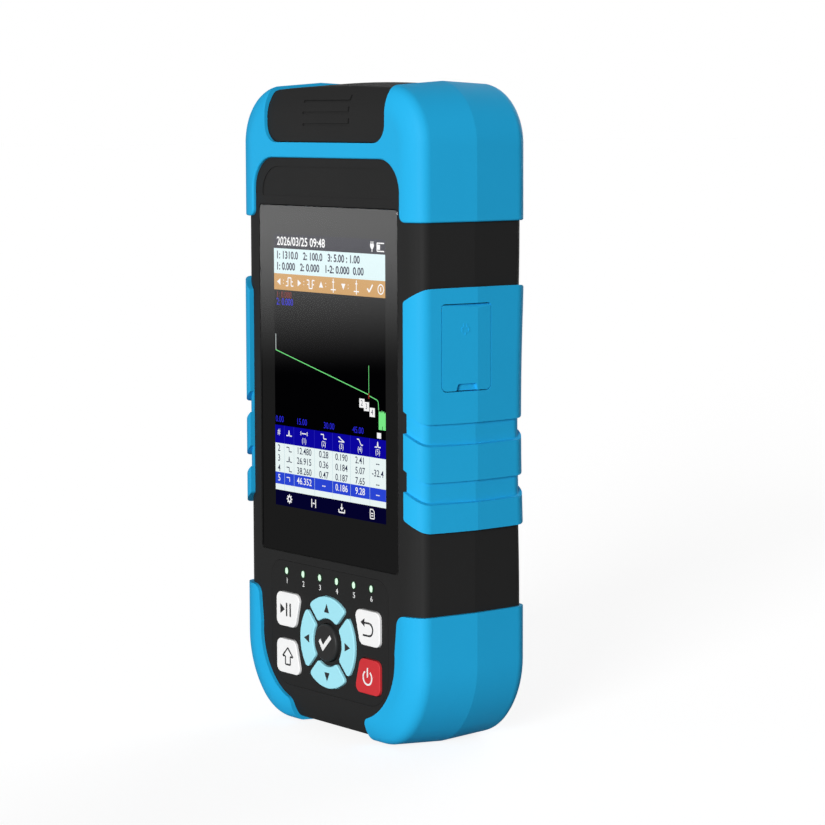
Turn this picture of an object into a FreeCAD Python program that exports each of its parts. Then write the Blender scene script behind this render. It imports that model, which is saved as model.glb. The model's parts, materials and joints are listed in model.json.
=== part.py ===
# Handheld optical time domain reflectometer, modelled in millimetres.
#
# The instrument stands upright: +Z is up, the display faces -Y and the origin is the middle of its
# foot.  A black two-part housing meets on a parting plane.  Both halves are drafted away from that
# plane, so a crease runs round the sides.  Rubber bumpers and side grips lie on the housing as skins
# of constant thickness, so each is cut from a grown copy of the housing's own outer form.
#
# Heights are measured from the crown or from the foot, so a taller housing gets a taller display
# and longer waist while the keypad, the port bay and the bumpers keep their sizes.
import math
import os

import FreeCAD
import Part

V = FreeCAD.Vector

# ---------------------------------------------------------------- driving dimensions
# Housing
BODY_WIDTH = 100.0            # black housing across the crease
BODY_HEIGHT = 215.2           # black housing, chin to crown
BODY_DEPTH = 43.5             # black housing, front face to rear face
PARTING_Y = 0.5               # plane in which the two halves meet
FRONT_DRAFT = 4.0             # degrees, walls of the front half
REAR_DRAFT = 3.0              # degrees, walls of the rear half
TOP_CORNER_R = 19.3
CROWN_R = 549.0               # the top edge is a very flat arc
FOOT_CORNER_SIDE_R = 30.7     # lower corners start with a large arc at the side...
FOOT_CORNER_BASE_R = 20.4     # ...and turn into the base with a smaller one
FOOT_CORNER_SPLIT = 45.0      # degrees of turn given to the large arc
FACE_EDGE_SLOPE = 30.0        # degrees, the band between front face and side wall
FACE_EDGE_DEPTH = 3.2         # how far the band falls behind the front face
FACE_EDGE_R = 11.6            # soft blend from the front face into the band
SIDE_EDGE_R = 3.5             # tighter blend from the band into the side wall
REAR_EDGE_R = 3.8
WALL = 2.4
WAIST_DEPTH = 1.3             # shallow hand waist across the rear face
RUN_GAP = 0.3                 # clearance round pieces that move
FIT_GAP = 0.1                 # clearance round pieces that are fitted in

# Rubber skins
BUMPER_T = 1.2
GRIP_T = 1.5
GRIP_GROOVE_T = 0.3           # rubber left under the grooves of the grips
FOOT_TRIM = 0.35              # shaved off the lowest bumper edge, to give a flat foot
BUMPER_DROP = 44.6            # lower edge of the upper bumper, below the crown
BUMPER_EDGE_R = 0.6           # rolled edge of the upper bumper's opening
ARCH_HALF_WIDTH = 40.6        # opening of the upper bumper round the header
ARCH_DROP = 24.75             # top of that opening, below the crown
ARCH_R = 10.7
ARCH_LIP_R = 2.4
BUMPER_FOOT_Z = 45.6          # upper edge of the lower bumpers
CHIN_HALF_WIDTH = 21.0        # black chin between the noses of the lower bumpers
NOSE_RUN = 2.2                # nose of a lower bumper: its rounded end
NOSE_RISE = 8.6
ELBOW_IN = 23.6               # where the nose turns up, in from the side of the housing
ELBOW_RISE = 10.1
SWEEP_IN = 15.7               # middle of the curve between elbow and knee
SWEEP_RISE = 17.6
KNEE_IN = 12.2                # where that curve ends
KNEE_DROP = 12.6              # below the upper edge
SHOULDER_IN = 11.2            # where the rounded upper corner begins
SHOULDER_DROP = 4.0
SHOULDER_RUN = 3.8
GRIP_HEIGHT = 78.2
GRIP_DROP = 20.65             # top of the grips, below the upper bumper
GRIP_FRONT_X = 43.0           # where a grip ends on the front face
GRIP_BEND_X = 50.4            # where its edges turn down the corner
GRIP_RISE = 4.3               # its edges rise by this much towards the front face
GRIP_BEND_R = 3.0
GRIP_END_R = 1.2
GROOVE_LOWS = (9.1, 27.75)    # lower edges of the grooves, above the foot of the grip
GROOVE_HEIGHT = 7.1

# Display
WINDOW_WIDTH = 77.5
WINDOW_ABOVE_PANEL = 2.8      # black strip between the keypad panel and the window
WINDOW_BELOW_HEADER = 2.9     # black strip between the window and the header field
WINDOW_T = 1.5
WINDOW_R = 1.6
WINDOW_BEVEL = 0.3
GASKET_T = 0.5
GASKET_WIDTH = 2.2
SCREEN_WIDTH = 62.2
SCREEN_BASE_MARGIN = 15.6     # window below the screen
SCREEN_TOP_MARGIN = 10.0      # window above the screen
SCREEN_R = 0.5
MODULE_BORDER = 4.0
MODULE_T = 4.0

# Header panel, a shallow sunk field above the display
HEADER_DROP = 37.45           # lower edge of the field, below the crown
HEADER_INSET = 4.0            # from the edge of the bumper's opening
HEADER_TOP_INSET = 3.0
HEADER_BASE_R = 0.6
HEADER_SINK = 0.3

# Keypad
PANEL_HALF_WIDTH = 33.0
PANEL_LOW_Z = 13.3
PANEL_HEIGHT = 42.3
PANEL_TOP_R = 6.0
PANEL_BASE_R = 10.5
PANEL_T = 1.6
PANEL_RIM = 1.2               # ledge of the case that the panel sits on
KEY_BOARD_RIM = 0.2           # key board and membrane inside the panel's outline
PAD_ABOVE_PANEL_FOOT = 17.75  # centre of the round direction pad
PAD_OUTER_R = 15.4
PAD_INNER_R = 8.1
PAD_SLOT = 1.9                # between neighbouring direction keys
PAD_CORNER_R = 1.3
OK_R = 6.3
OK_EDGE_R = 0.9
OK_PROUD = 1.7
KEY_PROUD = 0.8
KEY_TRAVEL = 0.7
KEY_GAP = 0.25
KEY_FLANGE = 0.5
KEY_FLANGE_T = 0.6
KEY_PLAY = 0.05               # flange behind the panel when the key is up
KEY_CORNER_R = 2.4
KEY_EDGE_R = 0.35
CORNER_KEY_X = 29.2           # outer edge of the four corner keys
CORNER_KEY_WIDE = 14.0        # width of a corner key at its end away from the pad's middle
CORNER_KEY_NARROW = 10.8
CORNER_KEY_HEIGHT = 11.6
CORNER_KEY_NEAR = 2.2         # height between the pad's middle and the near end of a corner key
MEMBRANE_T = 1.0
KEY_BOARD_T = 1.6
LED_BELOW_PANEL_TOP = 3.45
LED_PITCH = 9.56
LED_R = 1.2
LED_COUNT = 6
LED_PROUD = 0.15

# Boards and modules inside
BOARD_HALF_WIDTH = 33.0
BOARD_LOW_Z = 16.0
BOARD_DROP = 30.0             # upper edge of the main board, below the crown
BOARD_T = 1.6
BOARD_R = 2.0
POST_R = 2.6
POST_INSET = 4.0              # board posts from the board's edges
POST_ABOVE_PANEL = 5.0        # lower posts above the keypad panel
OPTICS_WIDTH = 60.0
OPTICS_HEIGHT = 78.0
OPTICS_T = 13.0
OPTICS_BEVEL = 1.0
OPTICS_DROP = 16.0            # top of the optics module, below the top of the board
SHELL_SCREW_X = 41.0
SHELL_SCREW_FOOT = 66.0       # lower screws, above the foot
SHELL_SCREW_DROP = 55.0       # upper screws, below the crown
SCREW_R = 1.5
SCREW_HEAD_R = 2.9
SCREW_HEAD_T = 1.8
SCREW_SINK = 2.4
SCREW_BITE = 7.0
SCREW_SOCKET_R = 1.15         # across the corners of the hexagon socket
SCREW_BEVEL = 0.25            # part of the head's height that is bevelled
SCREW_SOCKET_FLOOR = 0.35     # part of the head's height left under the socket
BOSS_R = 4.2
SEAL_WIDTH = 0.8
SEAL_INSET = 0.8
SEAL_T = 1.0

# Battery
BATTERY_WIDTH = 48.0
BATTERY_HEIGHT = 40.0
BATTERY_T = 14.0
BATTERY_LOW_Z = 20.0
BATTERY_R = 3.0
BATTERY_BEVEL = 0.8
TUB_WALL = 1.6
COVER_LAP = 5.0               # battery cover beyond the bay on every side
COVER_T = 2.2
COVER_R = 4.0
COVER_BASE_R = 8.0
COVER_SCREW_X = 18.0
COVER_SCREW_R = 1.25
COVER_SCREW_HEAD_R = 2.1
COVER_SCREW_LENGTH = 4.5
COVER_SOCKET_R = 0.86         # across the corners of the hexagon socket
COVER_SCREW_SINK = 0.3        # head below the rear face
COVER_RIB_HALF_WIDTH = 7.0    # thumb grooves in the battery cover
COVER_RIB_PITCH = 3.0
COVER_RIB_COUNT = 3
COVER_RIB_RISE = 4.0          # lowest groove above the battery's foot
COVER_RIB_W = 1.0
COVER_RIB_D = 0.6

# Port bay at the top
BAY_HALF_WIDTH = 33.4
BAY_DEPTH = 19.7              # lower edge of the bay, below the crown
BAY_R = 6.2
BAY_REAR_Y = 12.0
LID_T = 2.0
LID_GROOVE_LOW = 5.45         # lowest groove above the lower edge of the bay
LID_GROOVE_PITCH = 3.8
LID_GROOVE_COUNT = 3
LID_GROOVE_HALF_WIDTH = 13.0
LID_GROOVE_W = 0.8
LID_GROOVE_D = 0.45
LID_GROOVE_HOOK = 2.4         # each groove turns up at its right end
LID_PIN_R = 0.8
LID_KNUCKLE_R = 1.7
LID_BARREL_HALF = 22.0
LID_LUG_X = 15.0
LID_LUG_W = 6.0
LID_AXIS_DROP = 2.55          # hinge axis below the crown
LID_SLOT = 4.2                # hinge axis to the rear wall of the bay, lets the lid lean back
LID_TAIL = 3.1                # lid behind its axis
PORT_FLOOR_DROP = 16.05       # floor of the bay, below the crown
PORT_Y = -5.0
PORT_PITCH = 19.0
PORT_COUNT = 3
PORT_FLANGE_R = 6.0
PORT_FLANGE_T = 1.6
PORT_FLANGE_BEVEL = 0.4
PORT_BARREL_BEVEL = 0.5
PORT_BARREL_R = 4.0
SLEEVE_BORE_R = 1.25          # takes a 2.5 mm ferrule
PORT_HEIGHT = 9.5
BLOCK_LAP = 2.0

# Side flap over the sockets
FLAP_FRONT_Y = -13.2
FLAP_REAR_Y = 6.0
FLAP_HEIGHT = 27.5
FLAP_DROP = 5.4               # top of the flap, below the top of the grip
FLAP_R = 1.8
FLAP_TOP_R = 1.0              # sharper at the hinge, so that the corners clear as it opens
FLAP_T = 2.2
FLAP_NOTCH_W = 7.0
FLAP_NOTCH_H = 2.2
FLAP_NOTCH_R = 0.8
FLAP_NOTCH_FLARE = 1.0        # notch wider by this much at its mouth
FLAP_PIN_R = 0.45
FLAP_PIN_BITE = 1.6           # pin held in the grip beyond the flap
FLAP_AXIS_IN = 1.6            # hinge axis below the grip's surface at the crease
SOCKET_WINDOW = 2.6           # ledge of the case left round the socket window
SOCKET_WINDOW_R = 1.0
SOCKET_LAP = 2.0              # socket block inside the flap's outline
SOCKET_PROUD = 0.2            # sockets proud of the case wall's inside
SOCKET_BLOCK_X = 34.6
SOCKET_Y = -3.6
USB_W = 9.0
USB_H = 3.3
USB_DEPTH = 10.0
USB_SHELL = 0.35
USB_ROUND = 0.9               # part of half the height taken by each corner
USB_TONGUE_T = 0.7
USB_TONGUE_INSET = 1.5
USB_DROP = 10.5               # middle of the data socket, below the top of the flap
JACK_DROP = 20.4              # middle of the charging socket, below the top of the flap
JACK_R = 3.6
JACK_BORE_R = 2.8
JACK_PIN_R = 0.8
JACK_DEPTH = 9.0
JACK_PIN_SHORT = 2.0          # pin ends this far inside the mouth
SOCKET_FLOOR = 1.0            # closed back of both sockets

# Tilt stand on the rear
STAND_HALF_WIDTH = 27.0
STAND_HEIGHT = 66.0
STAND_ABOVE_COVER = 15.0      # free edge of the stand, above the battery cover
STAND_T = 3.2
STAND_R = 6.0
STAND_GRIP_R = 9.0            # finger dish under the stand's free edge
STAND_GRIP_LIFT = 0.55        # part of that radius by which its centre stands off the stand
STAND_SLOT_W = 26.0
STAND_SLOT_H = 30.0
STAND_SLOT_R = 4.0
STAND_PIN_R = 1.0
STAND_PIN_BITE = 3.0
STAND_PIN_WALL = 1.5          # case beyond the ends of the pin

# Keys
CORNER_KEYS = {               # side of the pad, and above or below its middle
    "play_key": (-1, 1),
    "shift_key": (-1, -1),
    "back_key": (1, 1),
    "power_key": (1, -1),
}
PAD_KEYS = {                  # degrees from the top of the pad
    "up_key": 0,
    "left_key": 90,
    "down_key": 180,
    "right_key": 270,
}
OK_KEY = "ok_key"
KEY_NAMES = [*CORNER_KEYS, *PAD_KEYS, OK_KEY]

# ---------------------------------------------------------------- derived places
HALF = BODY_WIDTH / 2
FRONT_Y = -BODY_DEPTH / 2
REAR_Y = BODY_DEPTH / 2
CHIN_Z = BUMPER_T - FOOT_TRIM
CROWN_Z = CHIN_Z + BODY_HEIGHT
FAR = 400.0                   # well past the object, for cutting tools
FRONT_WALL = PANEL_T + KEY_PLAY + KEY_FLANGE_T + KEY_TRAVEL + RUN_GAP
WALL_Y = FRONT_Y + FRONT_WALL             # inside of the front wall
BOARD_Y = WALL_Y + MODULE_T               # front of the main board
BUMPER_TOP_Z = CROWN_Z - BUMPER_DROP
ARCH_TOP_Z = CROWN_Z - ARCH_DROP
GRIP_HIGH_Z = BUMPER_TOP_Z - GRIP_DROP
GRIP_LOW_Z = GRIP_HIGH_Z - GRIP_HEIGHT
HEADER_LOW_Z = CROWN_Z - HEADER_DROP
PANEL_HIGH_Z = PANEL_LOW_Z + PANEL_HEIGHT
PAD_Z = PANEL_LOW_Z + PAD_ABOVE_PANEL_FOOT
LED_Z = PANEL_HIGH_Z - LED_BELOW_PANEL_TOP
WINDOW_LOW_Z = PANEL_HIGH_Z + WINDOW_ABOVE_PANEL
WINDOW_HIGH_Z = HEADER_LOW_Z - WINDOW_BELOW_HEADER
SCREEN_LOW_Z = WINDOW_LOW_Z + SCREEN_BASE_MARGIN
SCREEN_HIGH_Z = WINDOW_HIGH_Z - SCREEN_TOP_MARGIN
BOARD_HIGH_Z = CROWN_Z - BOARD_DROP
BATTERY_HIGH_Z = BATTERY_LOW_Z + BATTERY_HEIGHT
SCREW_SEAT_Y = REAR_Y - SCREW_SINK - SCREW_HEAD_T
COVER_SEAT_Y = REAR_Y - WAIST_DEPTH / 2 - COVER_T
COVER_SCREW_SEAT_Y = REAR_Y - WAIST_DEPTH / 2 - COVER_SCREW_R - COVER_SCREW_SINK
TUB_FLOOR_Y = COVER_SEAT_Y - RUN_GAP - BATTERY_T
BAY_LOW_Z = CROWN_Z - BAY_DEPTH
PORT_FLOOR_Z = CROWN_Z - PORT_FLOOR_DROP
LID_AXIS = V(0, BAY_REAR_Y - LID_SLOT, CROWN_Z - LID_AXIS_DROP)
FLAP_HIGH_Z = GRIP_HIGH_Z - FLAP_DROP
FLAP_LOW_Z = FLAP_HIGH_Z - FLAP_HEIGHT
FLAP_AXIS = V(HALF + GRIP_T - FLAP_AXIS_IN, 0, FLAP_HIGH_Z - FLAP_AXIS_IN)
SOCKET_MOUTH_X = HALF - WALL
USB_Z = FLAP_HIGH_Z - USB_DROP
JACK_Z = FLAP_HIGH_Z - JACK_DROP
STAND_LOW_Z = BATTERY_HIGH_Z + COVER_LAP + STAND_ABOVE_COVER
STAND_HIGH_Z = STAND_LOW_Z + STAND_HEIGHT
STAND_FACE_Y = REAR_Y - WAIST_DEPTH - FIT_GAP / 2
STAND_AXIS = V(0, STAND_FACE_Y - STAND_T / 2, STAND_HIGH_Z - STAND_T / 2)
PORT_XS = [(i - (PORT_COUNT - 1) / 2) * PORT_PITCH for i in range(PORT_COUNT)]


# ---------------------------------------------------------------- small helpers
def box(x0, x1, y0, y1, z0, z1):
    return Part.makeBox(x1 - x0, y1 - y0, z1 - z0, V(x0, y0, z0))


def rod(radius, start, along):
    """Cylinder from a start point along a vector."""
    return Part.makeCylinder(radius, along.Length, start, along)


def arc(centre, radius, start_deg, end_deg, y):
    """Arc in a plane of constant y, centre given as (x, z)."""
    def at(deg):
        turn = math.radians(deg)
        return V(centre[0] + radius * math.cos(turn), y, centre[1] + radius * math.sin(turn))
    return Part.Arc(at(start_deg), at((start_deg + end_deg) / 2), at(end_deg)).toShape()


def line(a, b):
    return Part.LineSegment(a, b).toShape()


def largest(shape):
    return max(shape.Solids, key=lambda solid: solid.Volume)


def one(shape):
    """The clean solid of a boolean result."""
    return largest(shape.removeSplitter())


def rounded(corners, y, depth):
    """Prism from (x, z, radius) corners given in order, standing on plane y, depth along +Y.

    The edge is straight between corners, and each corner is an arc of its own radius."""
    count = len(corners)
    edges = []
    ends = []
    for i, (x, z, radius) in enumerate(corners):
        before, after = corners[i - 1], corners[(i + 1) % count]
        corner = V(x, y, z)
        to_before = (V(before[0], y, before[1]) - corner).normalize()
        to_after = (V(after[0], y, after[1]) - corner).normalize()
        if radius <= 0:
            ends.append((corner, None, corner))
            continue
        half = to_before.getAngle(to_after) / 2
        reach = radius / math.tan(half)
        middle = (to_before + to_after).normalize()
        crown = corner + middle * (radius / math.sin(half) - radius)
        ends.append((corner + to_before * reach, crown, corner + to_after * reach))
    for i, (start, crown, end) in enumerate(ends):
        if crown is not None:
            edges.append(Part.Arc(start, crown, end).toShape())
        following = ends[(i + 1) % count][0]
        if end.distanceToPoint(following) > 1e-6:
            edges.append(line(end, following))
    face = Part.Face(Part.Wire(Part.__sortEdges__(edges)))
    return face.extrude(V(0, depth, 0))


def slab(x0, x1, z0, z1, y, depth, radius):
    """Plate with rounded corners, standing on plane y."""
    return rounded([(x0, z0, radius), (x1, z0, radius), (x1, z1, radius), (x0, z1, radius)], y, depth)


def mirrored(shape):
    return shape.mirror(V(0, 0, 0), V(1, 0, 0))


# ---------------------------------------------------------------- outer form
def outline(grow, y):
    """Closed outline of the housing at plane y, moved outwards by grow."""
    half = HALF + grow
    low = CHIN_Z - grow
    split = FOOT_CORNER_SPLIT
    turn = math.radians(split)
    side_r = FOOT_CORNER_SIDE_R + grow
    base_r = FOOT_CORNER_BASE_R + grow
    rise = side_r * math.sin(turn) + base_r * (1 - math.sin(turn))
    inset = side_r * (1 - math.cos(turn)) + base_r * math.cos(turn)
    side_c = (half - side_r, low + rise)
    base_c = (half - inset, low + base_r)
    top_r = TOP_CORNER_R + grow
    crown_r = CROWN_R + grow
    crown_c = (0.0, CROWN_Z - CROWN_R)
    top_x = half - top_r
    top_c = (top_x, crown_c[1] + math.sqrt((crown_r - top_r) ** 2 - top_x ** 2))
    tilt = math.degrees(math.asin(top_x / (crown_r - top_r)))
    edges = [
        line(V(-base_c[0], y, low), V(base_c[0], y, low)),
        arc(base_c, base_r, -90, -split, y),
        arc(side_c, side_r, -split, 0, y),
        line(V(half, y, side_c[1]), V(half, y, top_c[1])),
        arc(top_c, top_r, 0, 90 - tilt, y),
        arc(crown_c, crown_r, 90 - tilt, 90 + tilt, y),
        arc((-top_c[0], top_c[1]), top_r, 90 + tilt, 180, y),
        line(V(-half, y, top_c[1]), V(-half, y, side_c[1])),
        arc((-side_c[0], side_c[1]), side_r, 180, 180 + split, y),
        arc((-base_c[0], base_c[1]), base_r, 180 + split, 270, y),
    ]
    return Part.Wire(edges)


def middle_of(edge):
    return edge.valueAt((edge.FirstParameter + edge.LastParameter) / 2)


def edges_in_plane(solid, y):
    flat = [e for e in solid.Edges if all(abs(v.Y - y) < 1e-4 for v in e.Vertexes)]
    return [e for e in flat if abs(middle_of(e).y - y) < 1e-4]


def front_half(grow, blend=True):
    """Solid front half of the housing's form: drafted wall, sloped band, front face."""
    face_y = FRONT_Y - grow
    band_y = face_y + FACE_EDGE_DEPTH
    band_in = (PARTING_Y - band_y) * math.tan(math.radians(FRONT_DRAFT))
    face_in = band_in + FACE_EDGE_DEPTH / math.tan(math.radians(FACE_EDGE_SLOPE))
    sections = [outline(grow, PARTING_Y), outline(grow - band_in, band_y), outline(grow - face_in, face_y)]
    wall = Part.makeLoft(sections[:2], True, True)
    band = Part.makeLoft(sections[1:], True, True)
    solid = one(wall.fuse(band))
    if blend:
        solid = solid.makeFillet(FACE_EDGE_R + grow, edges_in_plane(solid, face_y))
        solid = solid.makeFillet(SIDE_EDGE_R + grow, edges_in_plane(solid, band_y))
    return solid


def waist_cut(grow):
    """Tool that gives the rear face its shallow waist between the bumpers: three tangent arcs."""
    rear = REAR_Y + grow
    floor = rear - WAIST_DEPTH
    bend_y = rear - WAIST_DEPTH / 2
    past = rear + 5
    low = BUMPER_FOOT_Z
    high = BUMPER_TOP_Z
    middle = (low + high) / 2
    reach = (high - low) / 2
    turn = 2 * math.atan(WAIST_DEPTH / reach)
    radius = reach / (2 * math.sin(turn))
    step = radius * math.sin(turn)
    half_run = radius * math.sin(turn / 2)
    half_drop = radius * (1 - math.cos(turn / 2))
    low_bend = V(0, bend_y, low + step)
    high_bend = V(0, bend_y, high - step)
    edges = [
        Part.Arc(V(0, rear, low), V(0, rear - half_drop, low + half_run), low_bend).toShape(),
        Part.Arc(low_bend, V(0, floor, middle), high_bend).toShape(),
        Part.Arc(high_bend, V(0, rear - half_drop, high - half_run), V(0, rear, high)).toShape(),
        line(V(0, rear, high), V(0, past, high)),
        line(V(0, past, high), V(0, past, low)),
        line(V(0, past, low), V(0, rear, low)),
    ]
    face = Part.Face(Part.Wire(edges))
    face.translate(V(-FAR / 2, 0, 0))
    return face.extrude(V(FAR, 0, 0))


def rear_half(grow, blend=True):
    """Solid rear half of the housing's form: drafted wall, waisted rear face, rounded edge."""
    rear = REAR_Y + grow
    rear_in = (rear - PARTING_Y) * math.tan(math.radians(REAR_DRAFT))
    solid = Part.makeLoft([outline(grow, PARTING_Y), outline(grow - rear_in, rear)], True, True)
    solid = solid.cut(waist_cut(grow))
    if blend:
        rim = [e for e in solid.Edges if all(v.Y > rear - WAIST_DEPTH - 1e-3 for v in e.Vertexes)]
        across = [e for e in rim if e.BoundBox.XLength > HALF
                  and BUMPER_FOOT_Z - 1 < e.BoundBox.Center.z < BUMPER_TOP_Z + 1]
        rim = [e for e in rim if not any(e.isSame(seam) for seam in across)]
        solid = solid.makeFillet(REAR_EDGE_R + grow, rim)
    return solid


def form(grow, blend=True):
    return one(front_half(grow, blend).fuse(rear_half(grow, blend)))


# ---------------------------------------------------------------- cutting regions
def bay_tool(gap=0.0, rear=BAY_REAR_Y):
    """Front-view shape of the port bay, from in front of the face to the bay's rear wall."""
    half = BAY_HALF_WIDTH - gap
    low = BAY_LOW_Z + gap
    top = CROWN_Z + 10
    start = FRONT_Y - 10
    corners = [(-half, low, BAY_R), (half, low, BAY_R), (half, top, 0), (-half, top, 0)]
    return rounded(corners, start, rear - gap - start)


def sideways(corners, x0, x1):
    """Prism along X from (y, z, radius) corners."""
    prism = rounded(corners, -x1, x1 - x0)
    prism.rotate(V(0, 0, 0), V(0, 0, 1), 90)
    return prism


def flap_tool(gap=0.0, x0=HALF - 12.0, x1=HALF + 10.0):
    """Side-view shape of the flap, grown by gap."""
    y0 = FLAP_FRONT_Y - gap
    y1 = FLAP_REAR_Y + gap
    z0 = FLAP_LOW_Z - gap
    z1 = FLAP_HIGH_Z + gap
    base_r = FLAP_R + gap
    top_r = FLAP_TOP_R + gap
    return sideways([(y0, z0, base_r), (y1, z0, base_r), (y1, z1, top_r), (y0, z1, top_r)], x0, x1)


def arch_tool():
    """Opening of the upper bumper round the header, with its lips flared at the lower edge."""
    half = ARCH_HALF_WIDTH
    lip = ARCH_LIP_R
    wide = half + 2 * lip
    below = BUMPER_TOP_Z - 8
    corners = [(-wide, below, 0), (wide, below, 0), (wide, BUMPER_TOP_Z, 0),
               (half, BUMPER_TOP_Z, lip), (half, ARCH_TOP_Z, ARCH_R), (-half, ARCH_TOP_Z, ARCH_R),
               (-half, BUMPER_TOP_Z, lip), (-wide, BUMPER_TOP_Z, 0)]
    return rounded(corners, -FAR / 2, FAR)


def foot_tool():
    """Front-view shape of the right lower bumper: the corner outside a curve that ends in a nose."""
    y = -FAR / 2
    out = HALF + 20
    under = -20
    chin = CHIN_HALF_WIDTH
    top = BUMPER_FOOT_Z
    edge = V(HALF - SHOULDER_IN + SHOULDER_RUN, y, top)
    shoulder = V(HALF - SHOULDER_IN, y, top - SHOULDER_DROP)
    shoulder_bend = V(shoulder.x + 0.26 * SHOULDER_RUN, y, top - 0.3 * SHOULDER_DROP)
    knee = V(HALF - KNEE_IN, y, top - KNEE_DROP)
    sweep = V(HALF - SWEEP_IN, y, CHIN_Z + SWEEP_RISE)
    elbow = V(HALF - ELBOW_IN, y, CHIN_Z + ELBOW_RISE)
    nose = V(chin + NOSE_RUN, y, CHIN_Z + NOSE_RISE)
    nose_bend = V(chin + 0.27 * NOSE_RUN, y, CHIN_Z + 0.9 * NOSE_RISE)
    tip = V(chin, y, CHIN_Z + 0.7 * NOSE_RISE)
    edges = [
        line(V(out, y, top), edge),
        Part.Arc(edge, shoulder_bend, shoulder).toShape(),
        line(shoulder, knee),
        Part.Arc(knee, sweep, elbow).toShape(),
        line(elbow, nose),
        Part.Arc(nose, nose_bend, tip).toShape(),
        line(tip, V(chin, y, under)),
        line(V(chin, y, under), V(out, y, under)),
        line(V(out, y, under), V(out, y, top)),
    ]
    return Part.Face(Part.Wire(edges)).extrude(V(0, FAR, 0))


def grip_band(low, high, inner=0.0):
    """Front-view shape of a stretch of the right grip: its edges turn up towards the front face."""
    near = GRIP_FRONT_X - inner
    out = HALF + 20
    rise = GRIP_RISE * (GRIP_BEND_X - near) / (GRIP_BEND_X - GRIP_FRONT_X)
    corners = [(near, low + rise, 0), (GRIP_BEND_X, low, GRIP_BEND_R), (out, low, 0),
               (out, high, 0), (GRIP_BEND_X, high, GRIP_BEND_R), (near, high + rise, 0)]
    return rounded(corners, -FAR / 2, FAR)


def grip_tool():
    """Front-view shape of the whole right grip: both ends narrow towards the front face."""
    near = GRIP_FRONT_X
    out = HALF + 20
    low = GRIP_LOW_Z
    high = GRIP_HIGH_Z
    corners = [(near, low + GRIP_RISE, GRIP_END_R), (GRIP_BEND_X, low, GRIP_BEND_R), (out, low, 0),
               (out, high, 0), (GRIP_BEND_X, high, GRIP_BEND_R), (near, high - GRIP_RISE, GRIP_END_R)]
    return rounded(corners, -FAR / 2, FAR)


# ---------------------------------------------------------------- rubber skins
def outer_edges(skin, thickness):
    """Edges of a skin that lie on its outer surface."""
    core = form(0)
    stand_off = thickness - FIT_GAP
    return [e for e in skin.Edges if core.distToShape(Part.Vertex(middle_of(e)))[0] > stand_off]


def top_bumper():
    """Two shoulders joined by bands over the header, open in the middle of the crown."""
    upper = box(-FAR, FAR, -FAR, FAR, BUMPER_TOP_Z, FAR)
    skin = form(BUMPER_T).common(upper).cut(form(0))
    skin = one(skin.cut(arch_tool()).cut(bay_tool(rear=FAR / 2)))
    rim = [e for e in outer_edges(skin, BUMPER_T) if middle_of(e).z < ARCH_TOP_Z + RUN_GAP]
    return skin.makeFillet(BUMPER_EDGE_R, rim)


def foot_bumper():
    """Right lower bumper, trimmed flat where the instrument stands on it."""
    skin = form(BUMPER_T).common(foot_tool()).cut(form(0))
    return one(skin.cut(box(-FAR, FAR, -FAR, FAR, -FAR, 0)))


def grip():
    """Right grip without the flap opening: a thick skin with two grooves across it."""
    tool = grip_tool()
    bands = tool
    for groove_low in GROOVE_LOWS:
        low = GRIP_LOW_Z + groove_low
        bands = bands.cut(grip_band(low, low + GROOVE_HEIGHT, inner=GRIP_BEND_R))
    thick = form(GRIP_T).common(bands)
    thin = form(GRIP_GROOVE_T).common(tool)
    return one(thick.fuse(thin).cut(form(0)))


def right_grip(whole):
    """The right grip has the opening of the flap and the holes of its pin."""
    return one(whole.cut(flap_tool(RUN_GAP)).cut(flap_pin(FIT_GAP / 2)))


# ---------------------------------------------------------------- display and keypad outlines
def window_plate(gap, y, depth):
    half = WINDOW_WIDTH / 2 + gap
    return slab(-half, half, WINDOW_LOW_Z - gap, WINDOW_HIGH_Z + gap, y, depth, WINDOW_R + gap)


def screen_plate(border, y, depth):
    half = SCREEN_WIDTH / 2 + border
    return slab(-half, half, SCREEN_LOW_Z - border, SCREEN_HIGH_Z + border, y, depth, SCREEN_R)


def panel_plate(grow, y, depth):
    half = PANEL_HALF_WIDTH + grow
    low = PANEL_LOW_Z - grow
    high = PANEL_HIGH_Z + grow
    top_r = PANEL_TOP_R + grow
    base_r = PANEL_BASE_R + grow
    corners = [(-half, low, base_r), (half, low, base_r), (half, high, top_r), (-half, high, top_r)]
    return rounded(corners, y, depth)


def corner_key_outline(side, level, grow, y, depth):
    """Corner key: side is -1 left or 1 right, level is 1 above the pad's middle or -1 below."""
    outer = side * (CORNER_KEY_X + grow)
    wide = side * (CORNER_KEY_X - CORNER_KEY_WIDE - grow)
    narrow = side * (CORNER_KEY_X - CORNER_KEY_NARROW - grow)
    near = PAD_Z + level * (CORNER_KEY_NEAR - grow)
    far = PAD_Z + level * (CORNER_KEY_NEAR + CORNER_KEY_HEIGHT + grow)
    r = KEY_CORNER_R + grow
    return rounded([(outer, near, r), (outer, far, r), (wide, far, r), (narrow, near, r)], y, depth)


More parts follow.
